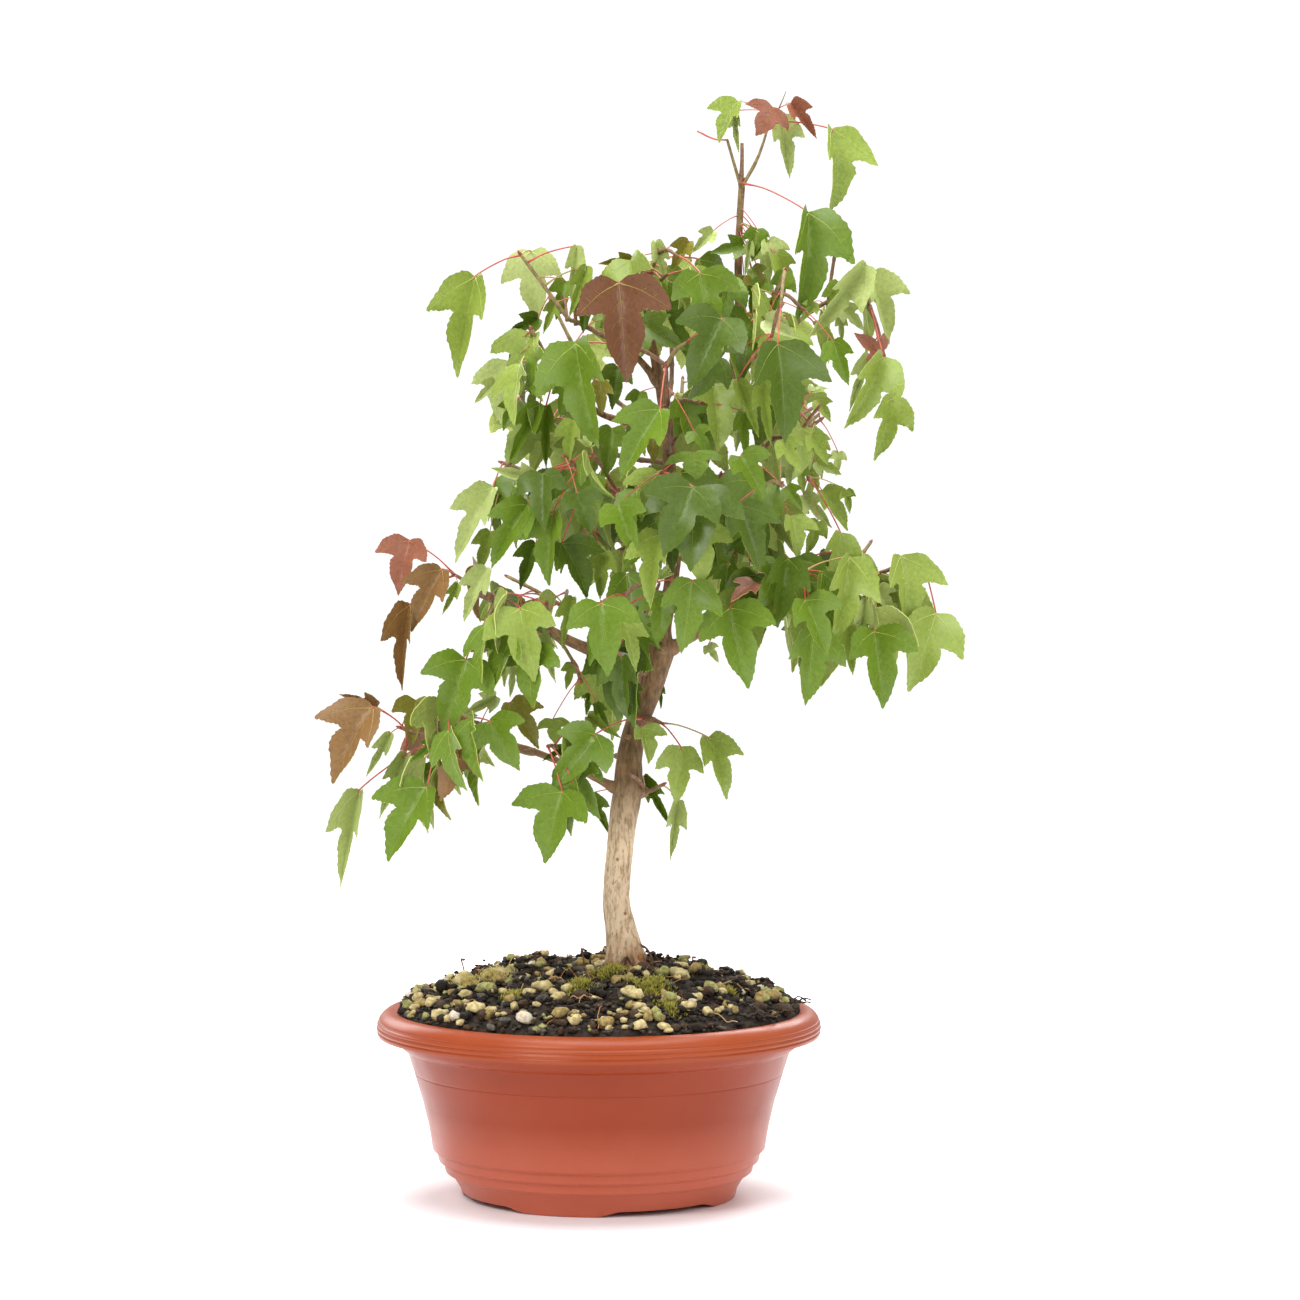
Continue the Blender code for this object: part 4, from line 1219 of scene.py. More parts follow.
@dataclass
class Limbs:
    """Trunk, second leader and boughs, each in bark with its relief, collars, stubs and scars."""

    trunk: Rows = (
        (12.3, 0.0, 101.3, 10.4), (11.4, 0.0, 111.0, 8.8), (9.7, 0.0, 121.0, 6.9), (7.9, -1.0, 134.0, 6.1),
        (9.0, -2.0, 152.0, 6.0), (11.0, -1.5, 170.0, 6.2), (12.6, 0.0, 181.0, 6.5), (14.1, 1.5, 199.0, 5.6),
        (17.2, 2.5, 213.0, 5.1), (22.4, 2.0, 226.0, 5.1), (25.6, 1.0, 238.0, 5.9), (27.6, 0.5, 246.0, 6.2),
        (28.8, 0.5, 256.0, 3.9), (31.5, 2.0, 270.0, 3.3), (33.5, 3.0, 288.0, 3.2), (32.2, 3.0, 314.0, 2.9),
        (30.8, 1.0, 345.0, 2.8), (28.6, 0.0, 360.0, 2.7), (26.7, 0.0, 370.0, 2.4), (23.4, -1.0, 385.0, 1.7),
    )
    leader: Rows = (
        (33.0, 3.0, 286.0, 2.7), (38.5, -1.0, 306.0, 2.7), (45.6, -4.0, 327.0, 2.7), (52.8, -5.0, 348.0, 2.6),
        (59.5, -4.5, 366.0, 2.4), (62.6, -4.0, 390.0, 2.0), (62.2, -3.5, 414.0, 1.7),
        (63.8, -3.0, 455.0, 1.3),
    )
    foot: Triple = (12.3, 0.0, 101.0)
    flare_top: float = 124.0
    flare_lobes: int = 4
    flare_depth: float = 0.13
    flare_turn: float = 0.6
    bough_steps: int = 4
    sag: float = 2.1
    fine: int = 12
    trunk_sides: int = 56
    leader_sides: int = 24
    bough_sides: int = 14
    trunk_relief: float = 0.62
    bough_relief: float = 0.3
    fine_roots: int = 16
    fine_root_ring: float = 8.2
    fine_root_end: float = 99.5
    collar: float = 0.55
    collar_reach: float = 4.0
    stubs: Rows = (
        (181.5, -8.0, 2.3, 3.0), (214.5, -28.0, 1.9, 3.4), (197.0, 150.0, 1.4, 2.0), (231.0, 70.0, 1.6, 2.4),
        (150.0, 110.0, 1.2, 1.2), (206.0, -120.0, 1.1, 1.4), (262.0, -150.0, 1.2, 2.2),
        (246.0, -75.0, 1.7, 2.2),
    )
    loose_roots: tuple[tuple[Triple, ...], ...] = (
        ((17.6, -3.0, 114.0), (21.8, -4.0, 111.5), (24.2, -4.5, 105.5), (22.6, -5.0, 98.0)),
        ((4.5, -3.0, 109.4), (1.2, -3.6, 109.8), (-1.6, -4.0, 109.6)),
        ((5.5, -7.0, 106.0), (2.6, -8.0, 104.6), (0.4, -8.6, 101.6)),
        ((12.0, -9.2, 108.5), (9.4, -11.0, 105.0), (6.0, -12.6, 100.5)),
        ((12.6, -9.0, 109.0), (15.0, -10.8, 104.6), (15.8, -12.4, 100.0)),
    )
    scars: tuple[Triple, ...] = ((107.0, -38.0, 4.0), (152.5, -95.0, 0.9), (128.0, -60.0, 0.8))
    paths: dict[str, Limb] = field(default_factory=dict)

    def lay(self) -> dict[str, Limb]:
        """Lay the middle lines of all the limbs.

        Returns:
            Each limb's middle line and radii by name.
        """
        for name, rows in (("trunk", self.trunk), ("leader", self.leader)):
            self.paths[name] = self.eased(rows, 1)
        for bough in BOUGHS:
            start = self.at_height(bough.parent, bough.height)[0]
            tip = Vector(bough.tip)
            via = [Vector(point) for point in bough.via] or [start.lerp(tip, 0.5) - self.sag * UP]
            path = smooth_run([start, *via, tip], max(2, round(self.bough_steps / (len(via) + 1))))
            self.paths[bough.name] = (path, fade(bough.root_radius, bough.tip_radius, len(path) - 1))
        return self.paths

    def eased(self, rows: Rows, steps: int) -> Limb:
        """Return a limb through its rows.

        Args:
            rows: Place and radius at each named point.
            steps: Steps between each two.

        Returns:
            The middle line and radii.
        """
        path = smooth_run([Vector(row[:3]) for row in rows], steps)
        return path, [value.x for value in smooth_run([Vector((row[3], 0, 0)) for row in rows], steps)]

    def at_height(self, name: str, height: float) -> tuple[Vector, Vector, float]:
        """Return a limb's point, direction and radius where it passes a height.

        Args:
            name: The limb.
            height: The height.

        Returns:
            Point, direction and radius.
        """
        path, radii = self.paths[name]
        for i in range(len(path) - 1):
            if path[i].z <= height <= path[i + 1].z:
                part = (height - path[i].z) / (path[i + 1].z - path[i].z)
                along = (path[i + 1] - path[i]).normalized()
                return path[i].lerp(path[i + 1], part), along, radii[i] + (radii[i + 1] - radii[i]) * part
        return path[-1].copy(), (path[-1] - path[-2]).normalized(), radii[-1]

    def barked(self, draft: Draft, limb: Limb, sides: int, relief: float, trunk: bool = False) -> None:
        """Add a limb with the bark's relief.

        Args:
            draft: What it is added to.
            limb: Its middle line and radii.
            sides: The number of sides.
            relief: Depth of the relief.
            trunk: Whether it has root ridges and a level foot.
        """
        path, radii = limb
        vertices, faces = tube(path, radii, sides, trunk)
        shaped = []
        for i, vertex in enumerate(vertices):
            centre = path[i // sides]
            out = vertex - centre
            angle = 2 * math.pi * (i % sides) / sides
            coarse = noise.noise(Vector((out.x / 2.4, out.y / 2.4, centre.z / 9.0)))
            wound = 3 * angle
            streak = noise.noise(Vector((3.0 * math.cos(wound), 3.0 * math.sin(wound), centre.z / 6.0)))
            factor = 1.0 + relief * (0.55 * coarse + 0.5 * streak) / max(1.0, out.length)
            if trunk:
                low = max(0.0, 1.0 - (centre.z - self.foot[2]) / (self.flare_top - self.foot[2]))
                ridges = math.cos(self.flare_lobes * angle + self.flare_turn)
                ridges += 0.7 * low * math.cos(7 * angle + 1.9)
                factor += self.flare_depth * low * ridges
            shaped.append(tuple(centre + out * factor))
        draft.add(np.array(shaped), faces)

    def build(self) -> None:
        """Make every limb's bark and the marks on the trunk."""
        bark = Bark("bark_of_trunk").make()
        young = Bark(
            "bark_of_boughs", pale=(0.30, 0.17, 0.09), tan=(0.19, 0.10, 0.055), fleck=(0.12, 0.062, 0.036),
            high=(0.36, 0.205, 0.105), turn=(0.20, 0.30), waist=(0.21, 0.115, 0.06),
        ).make()
        shown = {"trunk": self.eased(self.trunk, self.fine), "leader": self.eased(self.leader, 2 * self.fine)}
        for name, limb in shown.items():
            draft = Draft()
            sides = self.trunk_sides if name == "trunk" else self.leader_sides
            self.barked(draft, limb, sides, self.trunk_relief, name == "trunk")
            piece = draft.make(f"{name}_bark", [bark], "bark")
            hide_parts(name)
        for bough in BOUGHS:
            path, radii = self.paths[bough.name]
            fine_path = smooth_run(path, 10)
            fine_radii = [value.x for value in smooth_run([Vector((radius, 0, 0)) for radius in radii], 10)]
            parent = self.at_height(bough.parent, bough.height)[2]
            run = 0.0
            for i in range(len(fine_path)):
                if i:
                    run += (fine_path[i] - fine_path[i - 1]).length
                past = max(0.0, run - parent) / self.collar_reach
                fine_radii[i] *= 1.0 + self.collar * math.exp(-(past**2))
                fine_radii[i] *= 1.0 + 0.10 * noise.noise(Vector((run / 3.0, bough.height, 0.0)))
            draft = Draft()
            self.barked(draft, (fine_path, fine_radii), self.bough_sides, self.bough_relief)
            piece = draft.make(f"{bough.name}_bark", [young], "bark")
            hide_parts(bough.name)
        self.mark_trunk()

    def mark_trunk(self) -> None:
        """Add the cut stubs, the scars and the fine roots at the trunk's foot."""
        draft = Draft()
        for height, degrees, radius, long in self.stubs:
            centre, along, thick = self.at_height("trunk", height)
            turn = math.radians(degrees)
            out = polar(1.0, turn, 0.25).normalized()
            out = (out - 0.5 * along * out.dot(along)).normalized()
            start = centre + out * (thick - 1.6)
            path = [start, start + out * 1.6, start + out * (1.6 + 0.6 * long), start + out * (1.6 + long)]
            add_tube(draft, path, [1.7 * radius, 1.3 * radius, radius, 0.86 * radius], 14)
            add_tube(draft, [path[-1], path[-1] + 0.25 * out], [0.6 * radius, 0.5 * radius], 14, 1)
        for height, degrees, size in self.scars:
            centre, along, thick = self.at_height("trunk", height)
            turn = math.radians(degrees)
            out = polar(1.0, turn)
            start = centre + out * (thick * 1.03 - 0.35 * size)
            path = smooth_run([start, start + 0.3 * size * out, start + 0.45 * size * out], 2)
            add_tube(draft, path, [size, 0.95 * size, 0.8 * size, 0.55 * size, 0.2 * size], 12, 1)
        rng = random.Random(5)
        ring = self.fine_root_ring
        for order in range(self.fine_roots):
            turn = 2 * math.pi * order / self.fine_roots + rng.uniform(-0.15, 0.15)
            reach = rng.uniform(9.0, 15.0)
            x = self.foot[0] + ring * math.cos(turn)
            start = Vector((x, ring * math.sin(turn), rng.uniform(103.0, 108.0)))
            fall = self.fine_root_end - start.z
            end = start + Vector((reach * 0.6 * math.cos(turn), reach * 0.6 * math.sin(turn), fall))
            bend = Vector((rng.uniform(-1, 1), rng.uniform(-1, 1), rng.uniform(-0.5, 1.5)))
            path = smooth_run([start, start.lerp(end, 0.5) + bend, end], 4)
            add_tube(draft, path, [0.55 - 0.03 * i for i in range(len(path))], 7, 2)
        for points in self.loose_roots:
            path = smooth_run([Vector(point) for point in points], 4)
            add_tube(draft, path, [0.62 - 0.02 * i for i in range(len(path))], 7, 2)
        finishes = (
            Plain("stub_bark", (0.20, 0.12, 0.07), (0.34, 0.23, 0.13), 700.0, 0.85, 0.0005),
            Plain("cut_wood", (0.24, 0.10, 0.035), (0.42, 0.21, 0.09), 700.0, 0.8, 0.0004),
            Plain("fine_root", (0.06, 0.03, 0.018), (0.16, 0.09, 0.05), 700.0, 0.85, 0.0004),
        )
        draft.make("trunk_marks", [finish.make() for finish in finishes], "bark", 40.0)


class Shape(Enum):
    """How a leaf is cut: as usual, broad with its side lobes spread, or narrow."""

    TRIDENT = "trident"
    SPREAD = "spread"
    NARROW = "narrow"


OUTLINES = {
    Shape.TRIDENT: (
        ((0, 0), (0.09, -0.02), (0.18, -0.01), (0.28, 0.04), (0.365, 0.125), (0.43, 0.225),
         (0.48, 0.33), (0.51, 0.435)),
        ((0.51, 0.435), (0.43, 0.415), (0.345, 0.395), (0.26, 0.375), (0.175, 0.385)),
        ((0.175, 0.385), (0.212, 0.45), (0.220, 0.54), (0.188, 0.65), (0.132, 0.77), (0.064, 0.885), (0, 1)),
    ),
    Shape.SPREAD: (
        ((0, 0), (0.12, -0.035), (0.24, -0.035), (0.36, -0.005), (0.465, 0.06), (0.545, 0.145),
         (0.60, 0.24), (0.635, 0.35)),
        ((0.635, 0.35), (0.54, 0.345), (0.43, 0.335), (0.32, 0.315), (0.22, 0.33)),
        ((0.22, 0.33), (0.262, 0.41), (0.270, 0.51), (0.234, 0.63), (0.168, 0.75), (0.082, 0.875), (0, 1)),
    ),
    Shape.NARROW: (
        ((0, 0), (0.07, -0.008), (0.14, 0.005), (0.215, 0.055), (0.285, 0.145), (0.34, 0.25),
         (0.375, 0.36), (0.40, 0.465)),
        ((0.40, 0.465), (0.335, 0.45), (0.265, 0.43), (0.195, 0.405), (0.13, 0.41)),
        ((0.13, 0.41), (0.158, 0.48), (0.163, 0.57), (0.140, 0.675), (0.098, 0.79), (0.047, 0.895), (0, 1)),
    ),
}


@dataclass
class LeafPattern:
    """A flat leaf one unit long, cut out and meshed once, with its veins, and bent anew for each leaf."""

    shape: Shape
    seed: int
    tooth: float = 0.011
    sway: float = 0.008
    spacing: float = 0.075
    thickness: float = 0.36
    vein_height: float = 0.17
    unit: float = 40.0
    clear_of_spine: float = 0.03
    clear_of_edge: float = 0.028
    side_veins: tuple[Triple, ...] = (
        (0.20, 0.12, 0.12), (0.36, 0.16, 0.14), (0.52, 0.14, 0.12), (0.67, 0.10, 0.10),
    )
    lobe_veins: tuple[Triple, ...] = ((0.45, 0.30, 0.06), (0.68, 0.22, 0.09))

    def __post_init__(self) -> None:
        """Cut the outline, mesh it and draw the veins."""
        rng = random.Random(self.seed)
        right = self.edge(rng)
        left = [(-u, v) for u, v in self.edge(rng)]
        loop = [*right, *reversed(left[1:-1])]
        spine = [(0.0, 0.04 + 0.92 * i / 14) for i in range(15)]
        inner = self.fill(loop)
        points = [Vector(p) for p in [*loop, *spine, *inner]]
        start = len(loop)
        edges = [(0, start), *((start + i, start + i + 1) for i in range(len(spine) - 1))]
        edges.append((start + len(spine) - 1, len(right) - 1))
        found = delaunay_2d_cdt(points, edges, [list(range(len(loop)))], 1, 1e-5)
        self.flat = np.array([tuple(p) for p in found[0]])
        faces = []
        for face in found[2]:
            a, b, c = (self.flat[i] for i in face[:3])
            turned = (b[0] - a[0]) * (c[1] - a[1]) - (b[1] - a[1]) * (c[0] - a[0])
            faces.append(list(face) if turned > 0 else list(reversed(face)))
        count = len(self.flat)
        directed = {(face[i], face[(i + 1) % 3]) for face in faces for i in range(3)}
        border = [(a, b) for a, b in directed if (b, a) not in directed]
        self.faces = faces
        self.backs = [[i + count for i in reversed(face)] for face in faces]
        self.rims = [[b, a, a + count, b + count] for a, b in sorted(border)]
        self.draw_veins()

    def edge(self, rng: random.Random) -> list[Pair]:
        """Return one half of the outline, from the foot to the tip, with its teeth.

        Args:
            rng: The random source.

        Returns:
            Points across and along.
        """
        rows: list[Pair] = []
        phase = rng.uniform(0.0, 6.0)
        for order, corners in enumerate(OUTLINES[self.shape]):
            run = smooth_run([Vector((*corner, 0)) for corner in corners], 3)
            if rows:
                run = run[1:]
            for i, point in enumerate(run):
                ahead = run[min(i + 1, len(run) - 1)] - run[max(i - 1, 0)]
                out = Vector((ahead.y, -ahead.x, 0)).normalized()
                last = i == len(run) - 1
                toothed = not last and i % 2 == 0 and (order > 0 or i > 5)
                push = self.tooth * rng.uniform(0.2, 1.5) if toothed else 0.0
                if 0 < i < len(run) - 1:
                    push += self.sway * math.sin(phase + 5.0 * order + 0.8 * i)
                lean = ahead.normalized() * push * 0.7
                rows.append((point.x + out.x * push + lean.x, point.y + out.y * push + lean.y))
        rows[0] = (0.0, 0.0)
        rows[-1] = (0.0, 1.0)
        return rows

    def fill(self, loop: list[Pair]) -> list[Pair]:
        """Return points spread inside an outline, clear of it and of the middle line.

        Args:
            loop: The outline.

        Returns:
            The points.
        """
        ring = np.array(loop)
        inner = []
        for row in range(16):
            for column in range(-8, 9):
                u = self.spacing * (column + 0.5 * (row % 2))
                v = 0.01 + self.spacing * 0.87 * row
                edge = np.min(np.hypot(ring[:, 0] - u, ring[:, 1] - v))
                if abs(u) >= self.clear_of_spine and edge >= self.clear_of_edge and self.inside(ring, u, v):
                    inner.append((u, v))
        return inner

    def inside(self, ring: np.ndarray, u: float, v: float) -> bool:
        """Tell whether a point is inside an outline.

        Args:
            ring: The outline.
            u: Place across.
            v: Place along.

        Returns:
            Whether it is inside.
        """
        after = np.roll(ring, -1, axis=0)
        crosses = (ring[:, 1] > v) != (after[:, 1] > v)
        rise = np.where(crosses, after[:, 1] - ring[:, 1], 1.0)
        at = ring[:, 0] + (v - ring[:, 1]) * (after[:, 0] - ring[:, 0]) / rise
        return bool(np.count_nonzero(crosses & (at > u)) % 2)

    def draw_veins(self) -> None:
        """Draw three main veins and their side veins as thin ridges that pass through the blade."""
        lobe_u, lobe_v = OUTLINES[self.shape][0][-1]
        breadth = {Shape.SPREAD: 1.15, Shape.NARROW: 0.8}.get(self.shape, 1.0)
        lines = [([(0.0, 0.0), (0.0, 0.35), (0.0, 0.7), (0.0, 0.97)], 0.38, 0.11, 7)]
        for side in (1, -1):
            lobe = [(0.0, 0.01), (side * 0.42 * lobe_u, 0.36 * lobe_v), (side * 0.93 * lobe_u, 0.93 * lobe_v)]
            lines.append((lobe, 0.31, 0.11, 4))
            for v, out, up in self.side_veins:
                wide = out * breadth
                vein = [(0.0, v), (side * 0.5 * wide, v + 0.36 * up), (side * wide, v + up)]
                lines.append((vein, 0.19, 0.07, 2))
            for part, out_u, out_v in self.lobe_veins:
                foot = (side * part * lobe_u, (part - 0.07) * lobe_v)
                tip = (foot[0] + side * out_u * lobe_u * 0.5, foot[1] - 0.35 * out_v)
                middle = (0.5 * (foot[0] + tip[0]), 0.5 * (foot[1] + tip[1]) - 0.004)
                lines.append(([foot, middle, tip], 0.16, 0.07, 1))
        points = []
        faces = []
        for line, wide, thin, steps in lines:
            run = smooth_run([Vector((*p, 0)) for p in line], max(1, steps // (len(line) - 1) + 1))
            first = len(points)
            for i, point in enumerate(run):
                ahead = (run[min(i + 1, len(run) - 1)] - run[max(i - 1, 0)]).normalized()
                half = (wide + (thin - wide) * i / (len(run) - 1)) / self.unit
                tall = self.vein_height * (0.5 + 0.5 * half * self.unit / 0.3)
                out = Vector((ahead.y, -ahead.x, 0)) * half
                points.append((point.x + out.x, point.y + out.y, -0.5 * self.thickness))
                points.append((point.x, point.y, tall))
                points.append((point.x - out.x, point.y - out.y, -0.5 * self.thickness))
                points.append((point.x, point.y, -self.thickness - tall))
            faces += [tuple(first + i for i in face) for face in ring_faces(len(run), 4)]
            faces.append(tuple(range(len(points) - 4, len(points))))
        self.vein_points = np.array(points)
        self.vein_faces = faces


@dataclass
class Blade:
    """One leaf: where its petiole leaves the twig, where the blade starts, its directions and its bends."""

    node: Vector
    base: Vector
    along: Vector
    face: Vector
    length: float
    tint: Tint = Tint.GREEN
    shape: Shape = Shape.TRIDENT
    fold: float = 0.30
    curl: float = 0.5
    droop: float = 0.5
    wave: float = 0.02
    phase: float = 0.0
    broad: float = 1.0

    half_outline: Profile = ((0.25, -0.03), (0.48, 0.38), (0.17, 0.39))
    plate: float = 0.6
    stalk: float = 0.35

    def land_tip(self) -> None:
        """Turn and lengthen the blade so that its curled tip lies where the straight blade's tip lay."""
        half = 0.5 * self.curl
        along = math.cos(half) * self.along + math.sin(half) * self.face
        self.face = math.cos(half) * self.face - math.sin(half) * self.along
        self.along = along
        self.length *= half / math.sin(half)

    def solid(self) -> Solid:
        """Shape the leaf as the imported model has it, a plate on its stalk, to test for room.

        Returns:
            Its vertices and faces.
        """
        beside = self.along.cross(self.face)
        narrow = 1.0 / math.sqrt(1.0 + self.fold * self.fold)
        rims = []
        for side in (1, -1):
            for across, down in self.half_outline:
                lift = self.face * (self.fold * narrow * across)
                reach = side * narrow * self.broad * across * beside
                rims.append(self.base + self.length * (reach + down * self.along + lift))
        outline = [self.base, *rims[:3], self.base + self.length * self.along, *reversed(rims[3:])]
        count = len(outline)
        half = 0.5 * self.plate * self.face
        vertices = [point + half for point in outline] + [point - half for point in outline]
        faces = []
        for i in range(1, count - 1):
            faces.append((0, i, i + 1))
            faces.append((count, count + i + 1, count + i))
        for i in range(count):
            after = (i + 1) % count
            faces.append((i, count + i, count + after, after))
        stalk = tube([self.node, self.base], [self.stalk] * 2, 3)
        faces += [tuple(len(vertices) + i for i in face) for face in stalk[1]]
        return vertices + stalk[0], faces

    def bent(self, flat: np.ndarray, height: np.ndarray) -> np.ndarray:
        """Return points of the flat pattern in their place on this leaf.

        Args:
            flat: Places across and along, for a leaf one unit long.
            height: Height over the blade's face, in millimetres.

        Returns:
            The points.
        """
        u = flat[:, 0] * self.broad
        v = flat[:, 1]
        turn = self.curl * np.clip(v, -0.1, 1.0)
        safe = self.curl if abs(self.curl) > 0.02 else 0.02
        down = np.sin(safe * v) / safe
        back = -(1.0 - np.cos(safe * v)) / safe
        valley = np.sqrt(u * u + 0.0009) - 0.03
        narrow = 1.0 / math.sqrt(1.0 + self.fold * self.fold)
        rise = self.fold * narrow * valley - self.droop * u * u * (0.6 + 0.6 * v)
        rise += self.wave * np.sin(9.0 * v + self.phase) * np.abs(u) * 4.0
        rise += 0.6 * self.wave * np.sin(14.0 * v + 5.0 * u + self.phase)
        beside = np.array(self.along.cross(self.face))
        along = np.array(self.along)
        face = np.array(self.face)
        tilt = np.outer(np.cos(turn), face) + np.outer(np.sin(turn), along)
        points = np.array(self.base) + self.length * (
            np.outer(u * narrow, beside) + np.outer(down, along) + np.outer(back, face)
        )
        return points + tilt * (self.length * rise + height)[:, None]


class Deck(Enum):
    """The tints that are dealt out in turn to the leaves of a mass."""

    GREEN = (Tint.GREEN, Tint.GREEN, Tint.DEEP, Tint.GREEN, Tint.FRESH)
    DEEP = (Tint.GREEN, Tint.DEEP, Tint.GREEN, Tint.GREEN, Tint.FRESH)
    FRESH = (Tint.FRESH, Tint.GREEN, Tint.FRESH, Tint.FRESH, Tint.GREEN)
    TOP = (Tint.FRESH, Tint.GREEN)
    OLIVE = (Tint.OLIVE, Tint.GREEN, Tint.RUST, Tint.FRESH)
    BRONZE = (Tint.RUST, Tint.BRONZE)


@dataclass(frozen=True)
class Mass:
    """Foliage on one stem: holder is what the stem meets, and the deck gives its leaves their tints."""

    name: str
    holder: str
    tip: Triple
    reach: float
    leaves: int
    sides: int
    seed: int
    height: float = 0.0
    deck: Deck = Deck.GREEN


MASSES = (
    Mass("top_sprig", "leader", (82, -4, 472), 60, 0, 0, 11, deck=Deck.TOP),
    Mass("upper_right_spray", "upper_right_bough", (120, -8, 409), 50, 15, 1, 12, deck=Deck.FRESH),
    Mass("upper_right_front", "leader", (82, -46, 415), 50, 15, 1, 13, 388, Deck.FRESH),
    Mass("upper_right_back", "leader", (84, 50, 410), 54, 15, 1, 54, 380, Deck.FRESH),
    Mass("right_shoulder", "right_shoulder_bough", (106, -28, 354), 46, 11, 1, 15, deck=Deck.FRESH),
    Mass("right_shoulder_back", "right_back_bough", (102, 54, 356), 48, 12, 1, 16, deck=Deck.FRESH),
    Mass("crown_top", "trunk", (26, -16, 423), 50, 16, 1, 17, deck=Deck.FRESH),
    Mass("crown_top_back", "trunk", (30, 46, 418), 54, 15, 1, 58, 356, Deck.FRESH),
    Mass("upper_left_spray", "fork_left", (-40, -10, 424), 52, 15, 1, 20, deck=Deck.FRESH),
    Mass("upper_left_back", "trunk", (-22, 44, 402), 54, 15, 1, 51, 350, Deck.FRESH),
    Mass("left_shoulder", "left_upper_limb", (-46, -20, 384), 46, 11, 1, 22),
    Mass("left_shoulder_back", "trunk", (-40, 46, 360), 50, 12, 1, 23, 330),
    Mass("centre_upper_front", "trunk", (30, -60, 374), 50, 15, 1, 24, 335),
    Mass("centre_upper_back", "trunk", (38, 70, 366), 54, 15, 1, 55, 326, Deck.FRESH),
    Mass("left_mid_front", "trunk", (-14, -54, 334), 48, 15, 1, 26, 312),
    Mass("left_mid_spray", "left_limb", (-60, -4, 340), 46, 12, 1, 27),
    Mass("left_mid_back", "trunk", (-30, 56, 314), 50, 14, 1, 28, 292),
    Mass("centre_front", "centre_front_bough", (28, -76, 328), 48, 15, 1, 29),
    Mass("centre_back", "centre_back_bough", (30, 80, 318), 50, 15, 1, 30),
    Mass("right_mid_front", "leader", (80, -50, 322), 50, 15, 1, 31, 306),
    Mass("right_mid_back", "trunk", (82, 44, 312), 50, 15, 1, 32, 290),
    Mass("bronze_sprig", "mid_left_limb", (-84, -8, 286), 44, 4, 0, 33, deck=Deck.BRONZE),
    Mass("left_low_front", "mid_left_front_bough", (-44, -44, 272), 46, 10, 1, 34, deck=Deck.DEEP),
    Mass("left_low_back", "mid_left_back_bough", (-42, 54, 276), 48, 11, 1, 35, deck=Deck.DEEP),
    Mass("centre_low_front", "trunk", (12, -62, 274), 48, 12, 1, 36, 252, Deck.DEEP),
    Mass("low_back", "low_back_bough", (18, 68, 256), 48, 11, 1, 37, deck=Deck.DEEP),
    Mass("right_arm_spray", "right_arm", (144, -6, 288), 50, 11, 1, 38, deck=Deck.FRESH),
    Mass("right_arm_front", "right_arm_front_bough", (90, -56, 284), 48, 12, 1, 39),
    Mass("right_arm_back", "right_arm_back_bough", (94, 58, 282), 50, 14, 1, 40),
    Mass("low_left_tip", "low_left_limb", (-104, -4, 214), 56, 9, 1, 41, deck=Deck.OLIVE),
    Mass("low_left_mid", "low_left_side", (-66, -38, 220), 46, 9, 1, 42, deck=Deck.DEEP),
    Mass("low_left_near", "low_left_spur", (-22, -38, 206), 44, 6, 1, 43, deck=Deck.DEEP),
    Mass("low_right", "trunk", (44, -8, 200), 44, 6, 1, 44, 184, Deck.DEEP),
)


@dataclass(frozen=True)
class SeenLeaf:
    """A leaf that stands out in the photograph, by the pixels of its blade's foot and tip.

    left and right are how far its side lobes reach from its middle line, as seen, in pixels, which tells how
    it is folded and turned. depth is how far behind the bowl's axis it hangs. root is where its petiole
    leaves the twig, if that shows. SEEN_ROWS gives all of these in this order, one row for each leaf.
    """

    foot: Pair
    tip: Pair
    left: float
    right: float
    depth: float
    tint: Tint
    root: Pair | None = None
